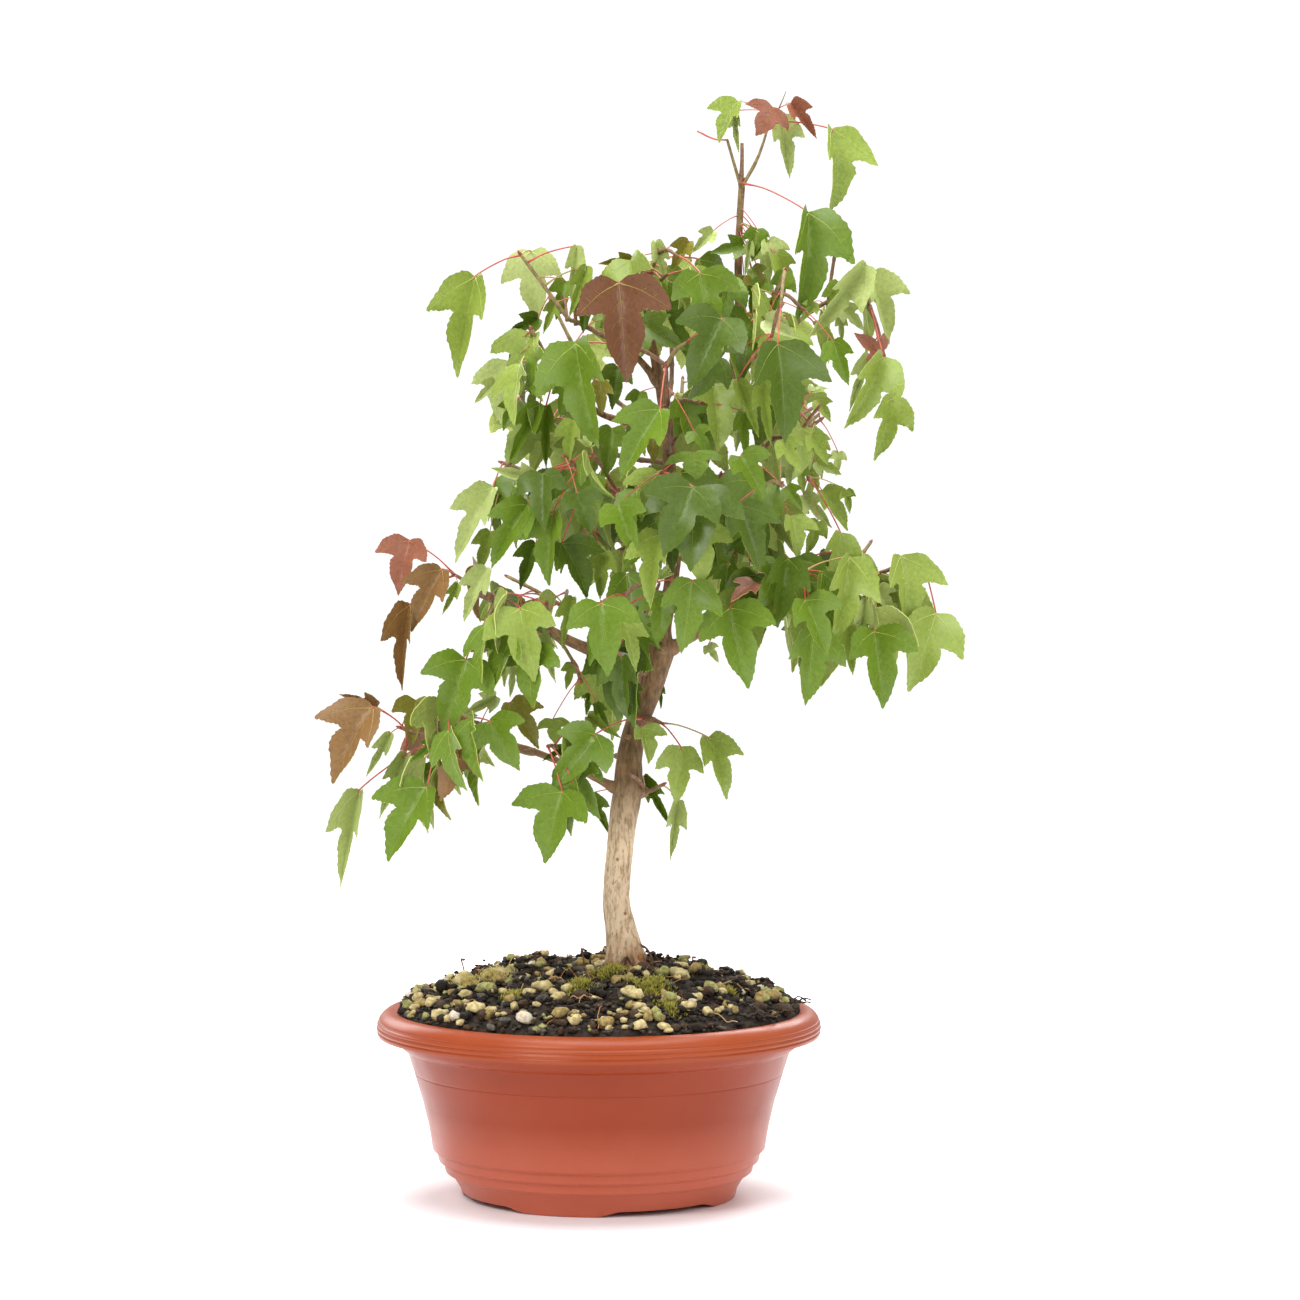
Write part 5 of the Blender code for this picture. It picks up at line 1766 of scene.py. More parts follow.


# The tints in these rows are partly painted light and shade: lit and backlit leaves are given paler tints,
# and shaded ones deeper tints.
SEEN_ROWS = (
    (738, 101, 719, 143, 26, 5, -4, "fresh", 772, 113), (735, 111, 739, 153, 9, 3, -1, "pale", 772, 116),
    (773, 107, 756, 136, 23, 25, -12, "rust", 772, 113), (791, 103, 817, 139, 9, 14, -2, "rust", 772, 113),
    (779, 118, 790, 179, 10, 22, 4, "pale", 772, 118), (832, 129, 830, 214, 4, 45, -4, "fresh", 771, 126),
    (808, 212, 795, 323, 6, 54, -20, "green", 744, 186), (475, 276, 457, 378, 41, 16, -14, "fresh"),
    (531, 251, 538, 323, 33, 28, 6, "pale"), (538, 318, 503, 338, 10, 14, -8, "deep"),
    (533, 334, 520, 397, 40, 8, -14, "fresh"), (509, 362, 501, 425, 34, 8, 0, "pale"),
    (576, 343, 599, 449, 50, 18, -62, "green"), (619, 282, 627, 383, 44, 50, -66, "bronze"),
    (587, 266, 569, 318, 9, 12, -20, "fresh"), (631, 261, 598, 264, 8, 9, -24, "olive"),
    (642, 323, 686, 350, 22, 20, -50, "green"), (660, 409, 620, 480, 38, 16, -78, "green"),
    (540, 404, 509, 464, 16, 10, -24, "green"), (546, 406, 546, 470, 10, 9, -16, "green"),
    (574, 421, 568, 467, 18, 8, -50, "fresh"), (516, 401, 503, 431, 14, 14, -6, "green"),
    (534, 479, 491, 468, 16, 9, -30, "pale"), (493, 487, 455, 563, 30, 9, -14, "pale"),
    (528, 504, 491, 569, 30, 15, -42, "green"), (553, 512, 549, 586, 36, 10, -48, "green"),
    (577, 493, 592, 535, 20, 24, -70, "deep"), (562, 543, 587, 598, 12, 38, -44, "deep"),
    (618, 505, 636, 556, 24, 24, -84, "green"), (657, 471, 641, 522, 30, 6, -70, "fresh"),
    (692, 487, 663, 557, 42, 38, -92, "deep"), (661, 533, 650, 609, 32, 9, -80, "fresh"),
    (520, 608, 535, 682, 44, 30, -58, "fresh"), (601, 603, 608, 677, 36, 37, -84, "green"),
    (466, 659, 442, 737, 38, 38, -42, "green"), (504, 637, 464, 652, 12, 16, -34, "olive"),
    (487, 568, 464, 622, 20, 9, -18, "pale"), (458, 584, 442, 615, 6, 7, -14, "fresh"),
    (573, 597, 562, 649, 13, 6, -44, "fresh"), (538, 626, 556, 684, 9, 8, -34, "pale"),
    (631, 618, 661, 649, 14, 16, -58, "green"), (692, 580, 681, 654, 27, 36, -74, "green"),
    (616, 652, 619, 722, 34, 28, -40, "deep"), (597, 668, 612, 724, 33, 12, -22, "fresh"),
    (596, 703, 609, 728, 6, 7, -30, "deep"), (588, 716, 621, 738, 8, 12, -14, "fresh"),
    (632, 684, 640, 710, 6, 9, -26, "deep"), (590, 762, 604, 784, 9, 11, -10, "green"),
    (513, 660, 510, 698, 6, 10, -24, "pale"), (700, 273, 712, 345, 32, 38, -48, "green"),
    (722, 318, 688, 390, 40, 34, -74, "deep"), (717, 356, 688, 400, 12, 28, -60, "deep"),
    (743, 245, 710, 253, 11, 14, -10, "green"), (755, 231, 757, 256, 11, 14, -6, "green"),
    (713, 231, 692, 253, 10, 9, -8, "pale"), (689, 241, 670, 273, 14, 9, -14, "olive"),
    (656, 241, 668, 290, 9, 9, -16, "pale"), (784, 272, 772, 315, 10, 16, -34, "green"),
    (866, 264, 808, 338, 6, 30, -12, "pale"), (870, 274, 889, 345, 8, 32, 8, "pale"),
    (880, 352, 854, 333, 15, 16, -16, "rust"), (883, 357, 844, 429, 8, 39, -24, "fresh"),
    (893, 398, 874, 461, 12, 29, -10, "fresh"), (870, 355, 849, 412, 12, 8, 2, "pale"),
    (778, 343, 785, 444, 28, 50, -76, "deep"), (833, 341, 849, 386, 20, 14, -42, "green"),
    (765, 320, 797, 338, 13, 14, -54, "pale"), (763, 379, 771, 446, 15, 9, -62, "fresh"),
    (737, 381, 759, 438, 8, 15, -52, "fresh"), (747, 345, 742, 381, 20, 15, -50, "deep"),
    (811, 435, 828, 465, 11, 15, -40, "fresh"), (817, 400, 831, 422, 9, 12, -24, "fresh"),
    (566, 281, 556, 320, 14, 16, 0, "green"), (586, 296, 583, 334, 12, 14, -4, "deep"),
    (757, 229, 752, 262, 13, 12, -8, "green"), (777, 243, 785, 272, 10, 10, 0, "pale"),
    (577, 246, 571, 302, 9, 12, -14, "pale"), (600, 382, 602, 416, 13, 13, -20, "olive"),
    (651, 430, 654, 464, 13, 14, -18, "olive"), (791, 456, 788, 488, 11, 11, -18, "pale"),
    (848, 627, 853, 676, 14, 12, -24, "fresh"), (612, 428, 606, 478, 17, 20, -24, "green"),
    (742, 392, 736, 452, 15, 18, -20, "pale"), (566, 384, 560, 418, 12, 14, -20, "green"),
    (536, 543, 520, 590, 18, 12, -20, "deep"), (490, 531, 478, 574, 14, 14, -6, "fresh"),
    (602, 552, 600, 600, 15, 16, -36, "fresh"), (728, 566, 724, 606, 14, 14, -40, "green"),
    (818, 521, 806, 556, 12, 14, -20, "fresh"), (694, 431, 711, 455, 13, 15, -66, "green"),
    (694, 452, 697, 480, 29, 30, -74, "green"), (740, 456, 764, 499, 15, 28, -70, "green"),
    (816, 461, 842, 475, 11, 13, -18, "fresh"), (781, 440, 801, 472, 13, 17, -56, "fresh"),
    (738, 504, 760, 573, 16, 38, -74, "deep"), (788, 558, 777, 628, 17, 28, -62, "deep"),
    (841, 533, 828, 586, 10, 27, -22, "fresh"), (850, 557, 831, 646, 10, 42, -46, "fresh"),
    (901, 556, 906, 631, 13, 47, -10, "fresh"), (936, 613, 908, 692, 30, 40, -6, "fresh"),
    (874, 631, 883, 709, 27, 42, -26, "green"), (814, 630, 805, 706, 21, 38, -52, "green"),
    (730, 607, 749, 689, 38, 40, -64, "green"), (708, 645, 719, 663, 8, 8, -40, "pale"),
    (800, 604, 793, 646, 15, 25, -38, "fresh"), (822, 490, 848, 531, 9, 23, -10, "fresh"),
    (803, 495, 832, 528, 13, 11, -16, "pale"), (791, 516, 796, 557, 9, 25, -46, "fresh"),
    (786, 487, 803, 510, 11, 12, -40, "green"), (750, 566, 733, 602, 15, 15, -34, "fresh"),
    (694, 549, 709, 576, 11, 13, -52, "green"), (688, 522, 686, 556, 13, 14, -60, "green"),
    (876, 587, 894, 616, 11, 16, -8, "pale"), (866, 599, 856, 660, 9, 11, -20, "pale"),
    (410, 540, 398, 596, 34, 19, -8, "rust", 453, 575),
    (442, 569, 411, 632, 32, 14, -14, "amber", 453, 575),
    (410, 604, 402, 691, 23, 6, -6, "amber", 453, 575),
    (373, 707, 332, 784, 50, 11, -18, "amber", 404, 729),
    (377, 707, 339, 694, 10, 10, -6, "amber", 404, 729), (416, 700, 413, 745, 23, 17, 0, "olive"),
    (427, 787, 388, 862, 46, 17, -30, "green"), (359, 790, 340, 888, 17, 2, -8, "pale", 436, 742),
    (391, 733, 366, 777, 9, 8, -14, "pale"), (406, 753, 379, 819, 7, 8, -4, "pale"),
    (439, 739, 409, 763, 8, 11, -22, "green"), (461, 743, 440, 757, 6, 6, -32, "green"),
    (465, 743, 480, 770, 12, 14, -46, "amber"), (496, 696, 463, 715, 9, 13, -26, "pale"),
    (553, 719, 556, 746, 16, 18, -14, "fresh"), (566, 747, 542, 761, 7, 6, -22, "deep"),
    (463, 743, 440, 802, 28, 26, -38, "amber"), (510, 702, 539, 749, 15, 26, -20, "olive"),
    (489, 721, 520, 771, 31, 31, -48, "green"), (562, 791, 545, 864, 47, 30, -42, "green"),
    (596, 734, 550, 789, 29, 35, -36, "green", 638, 719), (589, 794, 610, 835, 5, 14, 10, "green"),
    (708, 737, 727, 800, 11, 29, -8, "fresh", 660, 724),
    (681, 747, 676, 805, 24, 25, -14, "fresh", 660, 724),
    (641, 728, 649, 764, 4, 28, -16, "fresh", 645, 720), (678, 800, 670, 861, 8, 13, 4, "pale"),
    (643, 776, 671, 827, 7, 9, 10, "green"), (660, 684, 661, 710, 4, 5, 30, "green"),
    (768, 240, 780, 274, 11, 14, -12, "pale"), (750, 242, 745, 277, 6, 6, -10, "pale"),
    (762, 244, 770, 284, 14, 14, 4, "pale"), (752, 268, 770, 290, 11, 12, -4, "fresh"),
    (764, 283, 752, 308, 12, 12, -8, "green"), (768, 298, 757, 322, 11, 12, -10, "fresh"),
    (744, 276, 742, 302, 10, 9, -6, "olive"), (755, 284, 751, 320, 10, 9, 2, "green"),
    (618, 366, 612, 410, 17, 17, 22, "deep"), (640, 392, 630, 424, 12, 12, 18, "green"),
    (556, 300, 543, 334, 8, 9, -6, "fresh"), (495, 382, 474, 404, 9, 9, -10, "pale"),
    (572, 664, 566, 690, 9, 9, -16, "fresh"), (590, 690, 586, 716, 7, 8, -18, "green"),
    (744, 412, 746, 458, 12, 10, -44, "green"), (800, 468, 803, 494, 9, 9, -20, "fresh"),
    (838, 452, 836, 476, 8, 9, -14, "pale"), (846, 490, 850, 514, 8, 8, -10, "fresh"),
    (777, 254, 797, 294, 12, 12, -16, "fresh"), (838, 281, 826, 326, 12, 11, -6, "fresh"),
    (843, 308, 864, 331, 10, 13, -4, "pale"), (840, 318, 842, 343, 6, 7, -2, "pale"),
    (814, 302, 800, 322, 8, 10, -22, "fresh"),
)
SEEN_LEAVES = tuple(
    SeenLeaf(row[:2], row[2:4], *row[4:7], Tint(row[7]), row[8:] or None) for row in SEEN_ROWS
)


@dataclass(frozen=True)
class SeenTwig:
    """A bare twig that shows in the photograph: its pixels there, its depth and its radii at both ends."""

    path: Profile
    depth: float
    thick: float
    thin: float


SEEN_TWIGS = (
    SeenTwig(((743, 185), (759, 155), (772, 113)), -4, 0.85, 0.5),
    SeenTwig(((741, 182), (742, 162), (742, 143)), -4, 1.0, 0.75),
    SeenTwig(((779, 108), (783, 99), (786, 91)), -4, 0.3, 0.15),
    SeenTwig(((740, 184), (733, 160), (727, 139)), -4, 0.8, 0.55),
    SeenTwig(((640, 720), (650, 719), (661, 723)), -6, 1.5, 0.9),
)

SEEN_STEMS = {
    "top_sprig": ((739.5, 232), (740.5, 183)),
    "upper_left_spray": ((567, 317), (521, 255)),
    "left_shoulder": ((547, 357), (532, 330)),
    "left_mid_spray": ((523, 470), (503, 463)),
    "right_shoulder": ((800, 434), (820, 420)),
    "bronze_sprig": ((497, 599), (455, 575)),
    "low_left_tip": ((441, 742), (401, 728)),
    "low_right": ((650, 791), (662, 785)),
}

SKY = (
    (440, 425, 46), (415, 470, 44), (395, 480, 44), (880, 485, 38), (915, 500, 44), (770, 725, 34),
    (350, 640, 60), (345, 560, 30), (690, 190, 42), (660, 175, 60), (600, 190, 60), (520, 200, 52),
    (455, 225, 40), (905, 240, 40), (940, 300, 34), (930, 430, 30), (965, 520, 30), (700, 820, 40),
    (590, 870, 22), (480, 850, 44), (560, 905, 30), (370, 880, 18), (830, 750, 44), (950, 740, 40),
    (515, 300, 17), (489, 337, 15), (558, 333, 10), (480, 445, 26), (850, 425, 26), (852, 460, 24),
    (682, 690, 20), (778, 668, 18), (885, 550, 14), (962, 578, 24), (447, 545, 12), (330, 790, 40),
    (375, 830, 16), (530, 775, 16), (745, 795, 30), (770, 195, 30), (770, 140, 60), (700, 120, 44),
    (830, 170, 44), (905, 350, 22), (690, 665, 34), (778, 650, 26), (445, 622, 28), (527, 772, 24),
    (562, 703, 16), (497, 797, 28), (490, 280, 16), (558, 330, 14), (842, 266, 10), (857, 335, 15),
    (832, 402, 10), (655, 765, 12), (708, 712, 24), (566, 650, 22), (512, 690, 12), (545, 695, 12),
    (500, 770, 14), (930, 597, 16), (890, 622, 11), (912, 632, 8), (642, 815, 14), (636, 842, 14),
    (655, 845, 14), (525, 578, 13), (520, 455, 16), (385, 735, 16), (398, 770, 14), (528, 690, 12),
    (804, 286, 24), (395, 682, 16), (416, 682, 12), (850, 345, 12), (905, 345, 16), (447, 822, 12),
    (420, 856, 16), (534, 706, 10), (392, 757, 12), (655, 385, 15), (672, 372, 12), (652, 657, 12),
    (656, 680, 11),
)


@dataclass
class Foliage:
    """Stems, twigs, petioles, buds and leaves of every mass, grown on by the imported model's own rule."""

    limbs: Limbs
    studio: Studio
    longest: float = 43.0
    shortest: float = 25.0
    petiole: Pair = (10.0, 26.0)
    twig_tip: float = 0.8
    stem_radius: float = 1.2
    side_twig: float = 24.0
    pair_offset: float = 1.4
    sharpest: float = -0.4
    tries: int = 26
    passes: int = 6
    hang: float = 9.0
    set_back: float = 0.25
    crown_middle: float = 28.0
    breadth: float = 0.5
    margin: float = 0.25
    young: float = 0.4
    tips_that_sprout: int = 4
    most: int = 110
    seen_seed: int = 99
    stalk_seed: int = 3
    green_stalks: float = 0.45
    tip_forward: float = 3.0
    spread_from: float = 0.86
    narrow_to: float = 0.5
    most_fold: float = 1.15
    longest_petiole: float = 30.0
    kept_petiole: float = 20.0
    twig_rise: float = 0.06
    arch: float = 0.06
    bare_stalk: Profile = ((727, 140), (714, 139), (697, 131))
    stems: dict[str, Limb] = field(default_factory=dict)
    twigs: list[Limb] = field(default_factory=list)
    blades: list[Blade] = field(default_factory=list)
    buds: list[tuple[Vector, Vector]] = field(default_factory=list)

    def lay_stems(self) -> None:
        """Lay each mass's stem from the tip of its bough, or from the trunk's side, to its own tip."""
        for mass in MASSES:
            if mass.height:
                centre, along, radius = self.limbs.at_height(mass.holder, mass.height)
                heading = square_to(Vector(mass.tip) - centre, along)
                start = centre + (radius + CLEARANCE + 0.1) * heading
                thick = self.stem_radius
            else:
                path, radii = self.limbs.paths[mass.holder]
                heading = (path[-1] - path[-2]).normalized()
                start = path[-1] + CLEARANCE * heading
                thick = radii[-1]
            tip = Vector(mass.tip)
            middle = start + heading * (tip - start).length * 0.45
            parts = [i / 4 for i in range(5)]
            path = [start * (1 - t) ** 2 + middle * (2 * t * (1 - t)) + tip * t**2 for t in parts]
            if mass.name in SEEN_STEMS:
                near, far = (self.studio.through(pixel, mass.tip[1]) for pixel in SEEN_STEMS[mass.name])
                path = [start, start.lerp(near, 0.5), near, near.lerp(far, 0.5), far]
            self.stems[mass.name] = (path, fade(thick, self.twig_tip, 4))

    def room(self, mass: Mass) -> tuple[Vector, float]:
        """Return the middle and the reach of a mass's own ball of space."""
        start = self.stems[mass.name][0][0]
        return Vector(mass.tip).lerp(start, self.set_back) - self.hang * UP, mass.reach

    def holds(self, mass: Mass, points: list[Vector]) -> bool:
        """Tell whether points are in a mass's room and clear of the sky that the photograph shows.

        Args:
            mass: The mass.
            points: The points.

        Returns:
            Whether all of them are.
        """
        centre, reach = self.room(mass)
        if any((point - centre).length > reach for point in points):
            return False
        for other in MASSES:
            if other.name == mass.name:
                continue
            middle, size = self.room(other)
            apart = (middle - centre).length
            if apart > reach + size:
                continue
            wall = 0.5 * apart - self.margin
            way = (middle - centre) / apart
            if any((point - centre).dot(way) > wall for point in points):
                return False
        for point in points:
            x, y = self.studio.pixel(point)
            if any(math.hypot(x - sx, y - sy) < radius for sx, sy, radius in SKY):
                return False
        return True

    def tree_of(self, solids: list[Solid]) -> BVHTree:
        """Return a search tree over several solids.

        Args:
            solids: The solids.

        Returns:
            The tree.
        """
        vertices: list[Vector] = []
        faces: list[tuple[int, ...]] = []
        for points, polygons in solids:
            shift = len(vertices)
            vertices += points
            faces += [tuple(shift + i for i in polygon) for polygon in polygons]
        return BVHTree.FromPolygons(vertices, faces)

    def blade_at(
        self, node: Vector, lateral: Vector, ahead: Vector, rng: random.Random, scale: float
    ) -> Blade:
        """Return a leaf that hangs from a node, its petiole spread to one side and its face turned outward.

        Args:
            node: Where the petiole leaves the twig.
            lateral: The side that it leaves to.
            ahead: The way the twig grows.
            rng: The random source.
            scale: Size against a full leaf.

        Returns:
            The leaf.
        """
        spread = rng.uniform(0.7, 1.3)
        way = (ahead * 0.35 + lateral * spread + UP * rng.uniform(-0.25, 0.3)).normalized()
        base = node + way * rng.uniform(*self.petiole) * scale
        azimuth = math.atan2(base.y, self.breadth * (base.x - self.crown_middle)) + rng.gauss(0.0, 0.55)
        out = polar(1.0, azimuth)
        flat_way = Vector((way.x, way.y, 0))
        along = (-UP + 0.35 * flat_way + out * rng.uniform(-0.1, 0.4)).normalized()
        along = (along + 0.5 * rng.uniform(-1, 1) * out.cross(UP)).normalized()
        face = square_to(out + UP * rng.uniform(0.1, 0.5), along)
        length = rng.uniform(self.shortest, self.longest) * (0.75 + 0.25 * scale)
        return Blade(node, base, along, face, length)

    def hang_seen(self) -> list[BVHTree]:
        """Hang the leaves that stand out in the photograph, each from the nearest twig of its mass.

        Returns:
            A search tree for each, so that the others keep clear.
        """
        rng = random.Random(self.seen_seed)
        trees = []
        runs = [smooth_run(path, 4)[3:] for path, _ in self.stems.values()]
        for twig in SEEN_TWIGS:
            path = [self.studio.through(pixel, twig.depth) for pixel in twig.path]
            self.twigs.append((path, [twig.thick, 0.5 * (twig.thick + twig.thin), twig.thin]))
            runs.append(smooth_run(path, 4)[2:])
        for seen in SEEN_LEAVES:
            blade = self.seen_blade(seen, runs, rng)
            self.blades.append(blade)
            trees.append(self.tree_of([blade.solid()]))
        return trees

    def seen_blade(self, seen: SeenLeaf, runs: list[list[Vector]], rng: random.Random) -> Blade:
        """Return a leaf turned, folded and widened as the photograph shows it.

        Args:
            seen: The leaf.
            runs: The twigs' middle lines.
            rng: The random source.

        Returns:
            The leaf.
        """
        base = self.studio.through(seen.foot, seen.depth)
        tip = self.studio.through(seen.tip, seen.depth - self.tip_forward)
        along = (tip - base).normalized()
        pixels = math.dist(seen.foot, seen.tip)
        reach = (seen.left + seen.right) / pixels
        shape = Shape.TRIDENT
        if reach > self.spread_from:
            shape = Shape.SPREAD
        elif reach < self.narrow_to:
            shape = Shape.NARROW
        wide = OUTLINES[shape][0][-1][0] * pixels
        broad = max(1.0, seen.left / wide, seen.right / wide)
        left = math.acos(min(1.0, seen.left / (wide * broad)))
        right = math.acos(min(1.0, seen.right / (wide * broad)))
        turn = 0.5 * (left - right)
        face = square_to(Vector((math.sin(turn), -math.cos(turn), 0.1)), along)
        node = self.seen_node(seen, base, runs)
        curl = rng.uniform(0.15, 0.7)
        fold = math.tan(min(self.most_fold, 0.5 * (left + right)))
        blade = Blade(node, base, along, face, (tip - base).length, seen.tint, shape, fold, curl)
        blade.droop = rng.uniform(0.1, 0.5)
        blade.wave = rng.uniform(0.006, 0.016)
        blade.phase = rng.uniform(0.0, 6.0)
        blade.broad = broad
        blade.land_tip()
        return blade

    def seen_node(self, seen: SeenLeaf, base: Vector, runs: list[list[Vector]]) -> Vector:
        """Return where a leaf's petiole leaves its twig, a new side twig if the nearest one is far off.

        Args:
            seen: The leaf.
            base: Where its blade starts.
            runs: The twigs' middle lines, to which a new twig is added.

        Returns:
            The point.
        """
        node = self.twig_point(seen, base, runs)
        far = (base - node).length
        if far <= self.longest_petiole or seen.root:
            return node
        way = (base + 6.0 * UP - node).normalized()
        end = node + way * (far - self.kept_petiole)
        middle = node.lerp(end, 0.5) + self.twig_rise * far * UP
        self.twigs.append(([node, middle, end], [1.0, 0.85, 0.7]))
        self.buds.append((end, way))
        runs.append(smooth_run([node, middle, end], 3)[2:])
        return end

    def twig_point(self, seen: SeenLeaf, base: Vector, runs: list[list[Vector]]) -> Vector:
        """Return the point of a twig that a leaf's petiole leaves from.

        Args:
            seen: The leaf.
            base: Where its blade starts.
            runs: The twigs' middle lines.

        Returns:
            The point nearest to where the photograph shows the root, or else to a little above the blade.
        """
        points = (point for run in runs for point in run)
        if seen.root is None:
            lift = base + 8.0 * UP
            return min(points, key=lambda point: (point - lift).length)

        def miss(point: Vector) -> float:
            """Return how far a point is from the shown root and from the blade's depth."""
            return math.dist(self.studio.pixel(point), seen.root) + 0.5 * abs(point.y - base.y)

        return min(points, key=miss)

    def grow(self) -> None:
        """Grow every mass: opposite side twigs and leaf pairs, each turned a quarter from the last."""
        self.lay_stems()
        seen_trees = self.hang_seen()
        sleeves = []
        for name, (path, radii) in self.limbs.paths.items():
            sides = 10 if name == "trunk" else 6
            sleeves.append(tube(path, [radius + CLEARANCE for radius in radii], sides, True))
        limb_tree = self.tree_of(sleeves)
        for mass in MASSES:
            self.grow_mass(mass, [limb_tree, *seen_trees])

    def grow_mass(self, mass: Mass, fixed: list[BVHTree]) -> None:
        """Grow one mass.

        Args:
            mass: The mass.
            fixed: Search trees of what its leaves keep clear of.
        """
        rng = random.Random(mass.seed)
        stem, radii = self.stems[mass.name]
        others = self.tree_of([tube(*self.stems[name], 3) for name in self.stems if name != mass.name])
        trees: list[BVHTree] = []
        own: list[Blade] = []
        self.twigs.append((smooth_run(stem, 4), fade(radii[0], radii[-1], 16)))
        self.buds.append((stem[-1], (stem[-1] - stem[-2]).normalized()))

        def free(solid: Solid) -> BVHTree | None:
            """Return the search tree of a solid that has room, or nothing.

            Args:
                solid: The solid.

            Returns:
                Its search tree, or nothing.
            """
            if not self.holds(mass, solid[0]):
                return None
            tree = self.tree_of([solid])
            if any(tree.overlap(other) for other in (*fixed, others, *trees)):
                return None
            return tree

        def add_leaf(node: Vector, lateral: Vector, ahead: Vector, scale: float) -> None:
            """Add a leaf at a node if one of its tries finds room.

            Args:
                node: Where its petiole leaves the twig.
                lateral: The side that it leaves to.
                ahead: The way the twig grows.
                scale: Size against a full leaf.
            """
            for _ in range(self.tries):
                if len(own) >= mass.leaves:
                    return
                blade = self.blade_at(node, lateral, ahead, rng, scale)
                if (blade.base - node).normalized().dot(blade.along) < self.sharpest:
                    continue
                tree = free(blade.solid())
                if tree:
                    trees.append(tree)
                    own.append(blade)
                    return

        def dress(path: list[Vector], parts: tuple[float, ...], turn: float, scale: float) -> None:
            """Add leaf pairs along a twig, each turned a quarter from the last.

            Args:
                path: The twig's middle line.
                parts: How far along the twig each pair stands, from 0 to 1.
                turn: How far the first pair is turned about the twig.
                scale: Size against full leaves.
            """
            for order, part in enumerate(parts):
                place = part * (len(path) - 1)
                i = min(int(place), len(path) - 2)
                node = path[i].lerp(path[i + 1], place - i)
                ahead = (path[i + 1] - path[i]).normalized()
                lateral = sideways(ahead, turn + order * math.pi / 2)
                add_leaf(node, lateral, ahead, scale)
                add_leaf(node - self.pair_offset * ahead, -lateral, ahead, scale)

        turn = rng.uniform(0, math.pi)
        for order in range(mass.sides + 1):
            i = 2 + order if order < mass.sides else 1
            ahead = (stem[i + 1] - stem[i]).normalized()
            lateral = sideways(ahead, turn + order * math.pi / 2)
            for side in (1, -1):
                way = (ahead * 0.7 + side * lateral + 0.3 * UP).normalized()
                end = stem[i] + way * self.side_twig * rng.uniform(0.7, 1.15)
                path = [stem[i] - 0.4 * way, stem[i].lerp(end, 0.5) + Vector((0, 0, 1.0)), end]
                sizes = [radii[i] * 0.8, 0.5 * (radii[i] * 0.8 + self.twig_tip), self.twig_tip]
                if not free(tube(path, sizes, 3)):
                    continue
                self.twigs.append((smooth_run(path, 4), fade(sizes[0], sizes[2], 8)))
                self.buds.append((end, way))
                dress(path, (0.98, 0.5), rng.uniform(0, math.pi), 0.85)
        for more in range(self.passes):
            parts = tuple(part - 0.05 * more for part in (0.98, 0.8, 0.62, 0.45))
            dress(stem, parts, turn + 0.6 + 0.8 * more, 1.0 - 0.12 * more)
        self.vary(mass, own, rng)
        self.blades += own
        self.sprout(rng, free)

    def vary(self, mass: Mass, blades: list[Blade], rng: random.Random) -> None:
        """Give each leaf of a mass its tint, its shape and its bends.

        Args:
            mass: The mass.
            blades: Its leaves.
            rng: The random source.
        """
        deck = mass.deck.value
        for order, blade in enumerate(blades):
            blade.tint = deck[(order + mass.seed) % len(deck)]
            blade.shape = rng.choice((Shape.TRIDENT, Shape.TRIDENT, Shape.SPREAD, Shape.NARROW))
            blade.fold = rng.uniform(0.3, 1.1)
            blade.curl = rng.uniform(0.1, 0.9)
            blade.droop = rng.uniform(0.2, 1.0)
            blade.wave = rng.uniform(0.006, 0.02)
            blade.phase = rng.uniform(0.0, 6.0)

    def sprout(self, rng: random.Random, free: Callable[[Solid], BVHTree | None]) -> None:
        """Add small young leaves in pairs at some twig tips of the mass grown last.

        Args:
            rng: The random source.
            free: What tells whether a solid has room.
        """
        for tip, way in self.buds[-self.tips_that_sprout :]:
            if rng.random() > self.young:
                continue
            lateral = way.cross(UP).normalized()
            for side in (1, -1):
                spread = (way + side * lateral * rng.uniform(0.5, 1.0) + 0.4 * UP).normalized()
                base = tip + spread * rng.uniform(4, 8)
                along = (way + side * lateral + Vector((0, 0, rng.uniform(-0.8, 0.4)))).normalized()
                face = (UP + 0.5 * Vector((0, -1, 0)) - along * (UP.dot(along) - 0.5 * along.y)).normalized()
                blade = Blade(tip, base, along, face, rng.uniform(9, 16), Tint.RUST, Shape.TRIDENT, 0.5, 0.5)
                if free(blade.solid()):
                    blade.tint = rng.choice((Tint.RUST, Tint.OLIVE, Tint.FRESH, Tint.FRESH))
                    self.blades.append(blade)

    def build(self) -> None:
        """Make the pieces: leaves by tint, petioles, twigs and buds."""
        patterns = {
            shape: [LeafPattern(shape, 10 * i + seed) for seed in range(2)] for i, shape in enumerate(Shape)
        }
        for tint in Tint:
            blades = [blade for blade in self.blades if blade.tint is tint]
            finish = LEAF_FINISHES[tint].make(tint)
            slot = "foliage_bronze" if tint in (Tint.BRONZE, Tint.RUST, Tint.AMBER) else "foliage_green"
            for part, first in enumerate(range(0, len(blades), self.most)):
                draft = self.leaf_draft(blades[first : first + self.most], patterns)
                draft.make(f"leaves_{tint.value}_{part + 1}", finish, slot, 60.0)
        self.build_stalks()
        self.build_twigs()

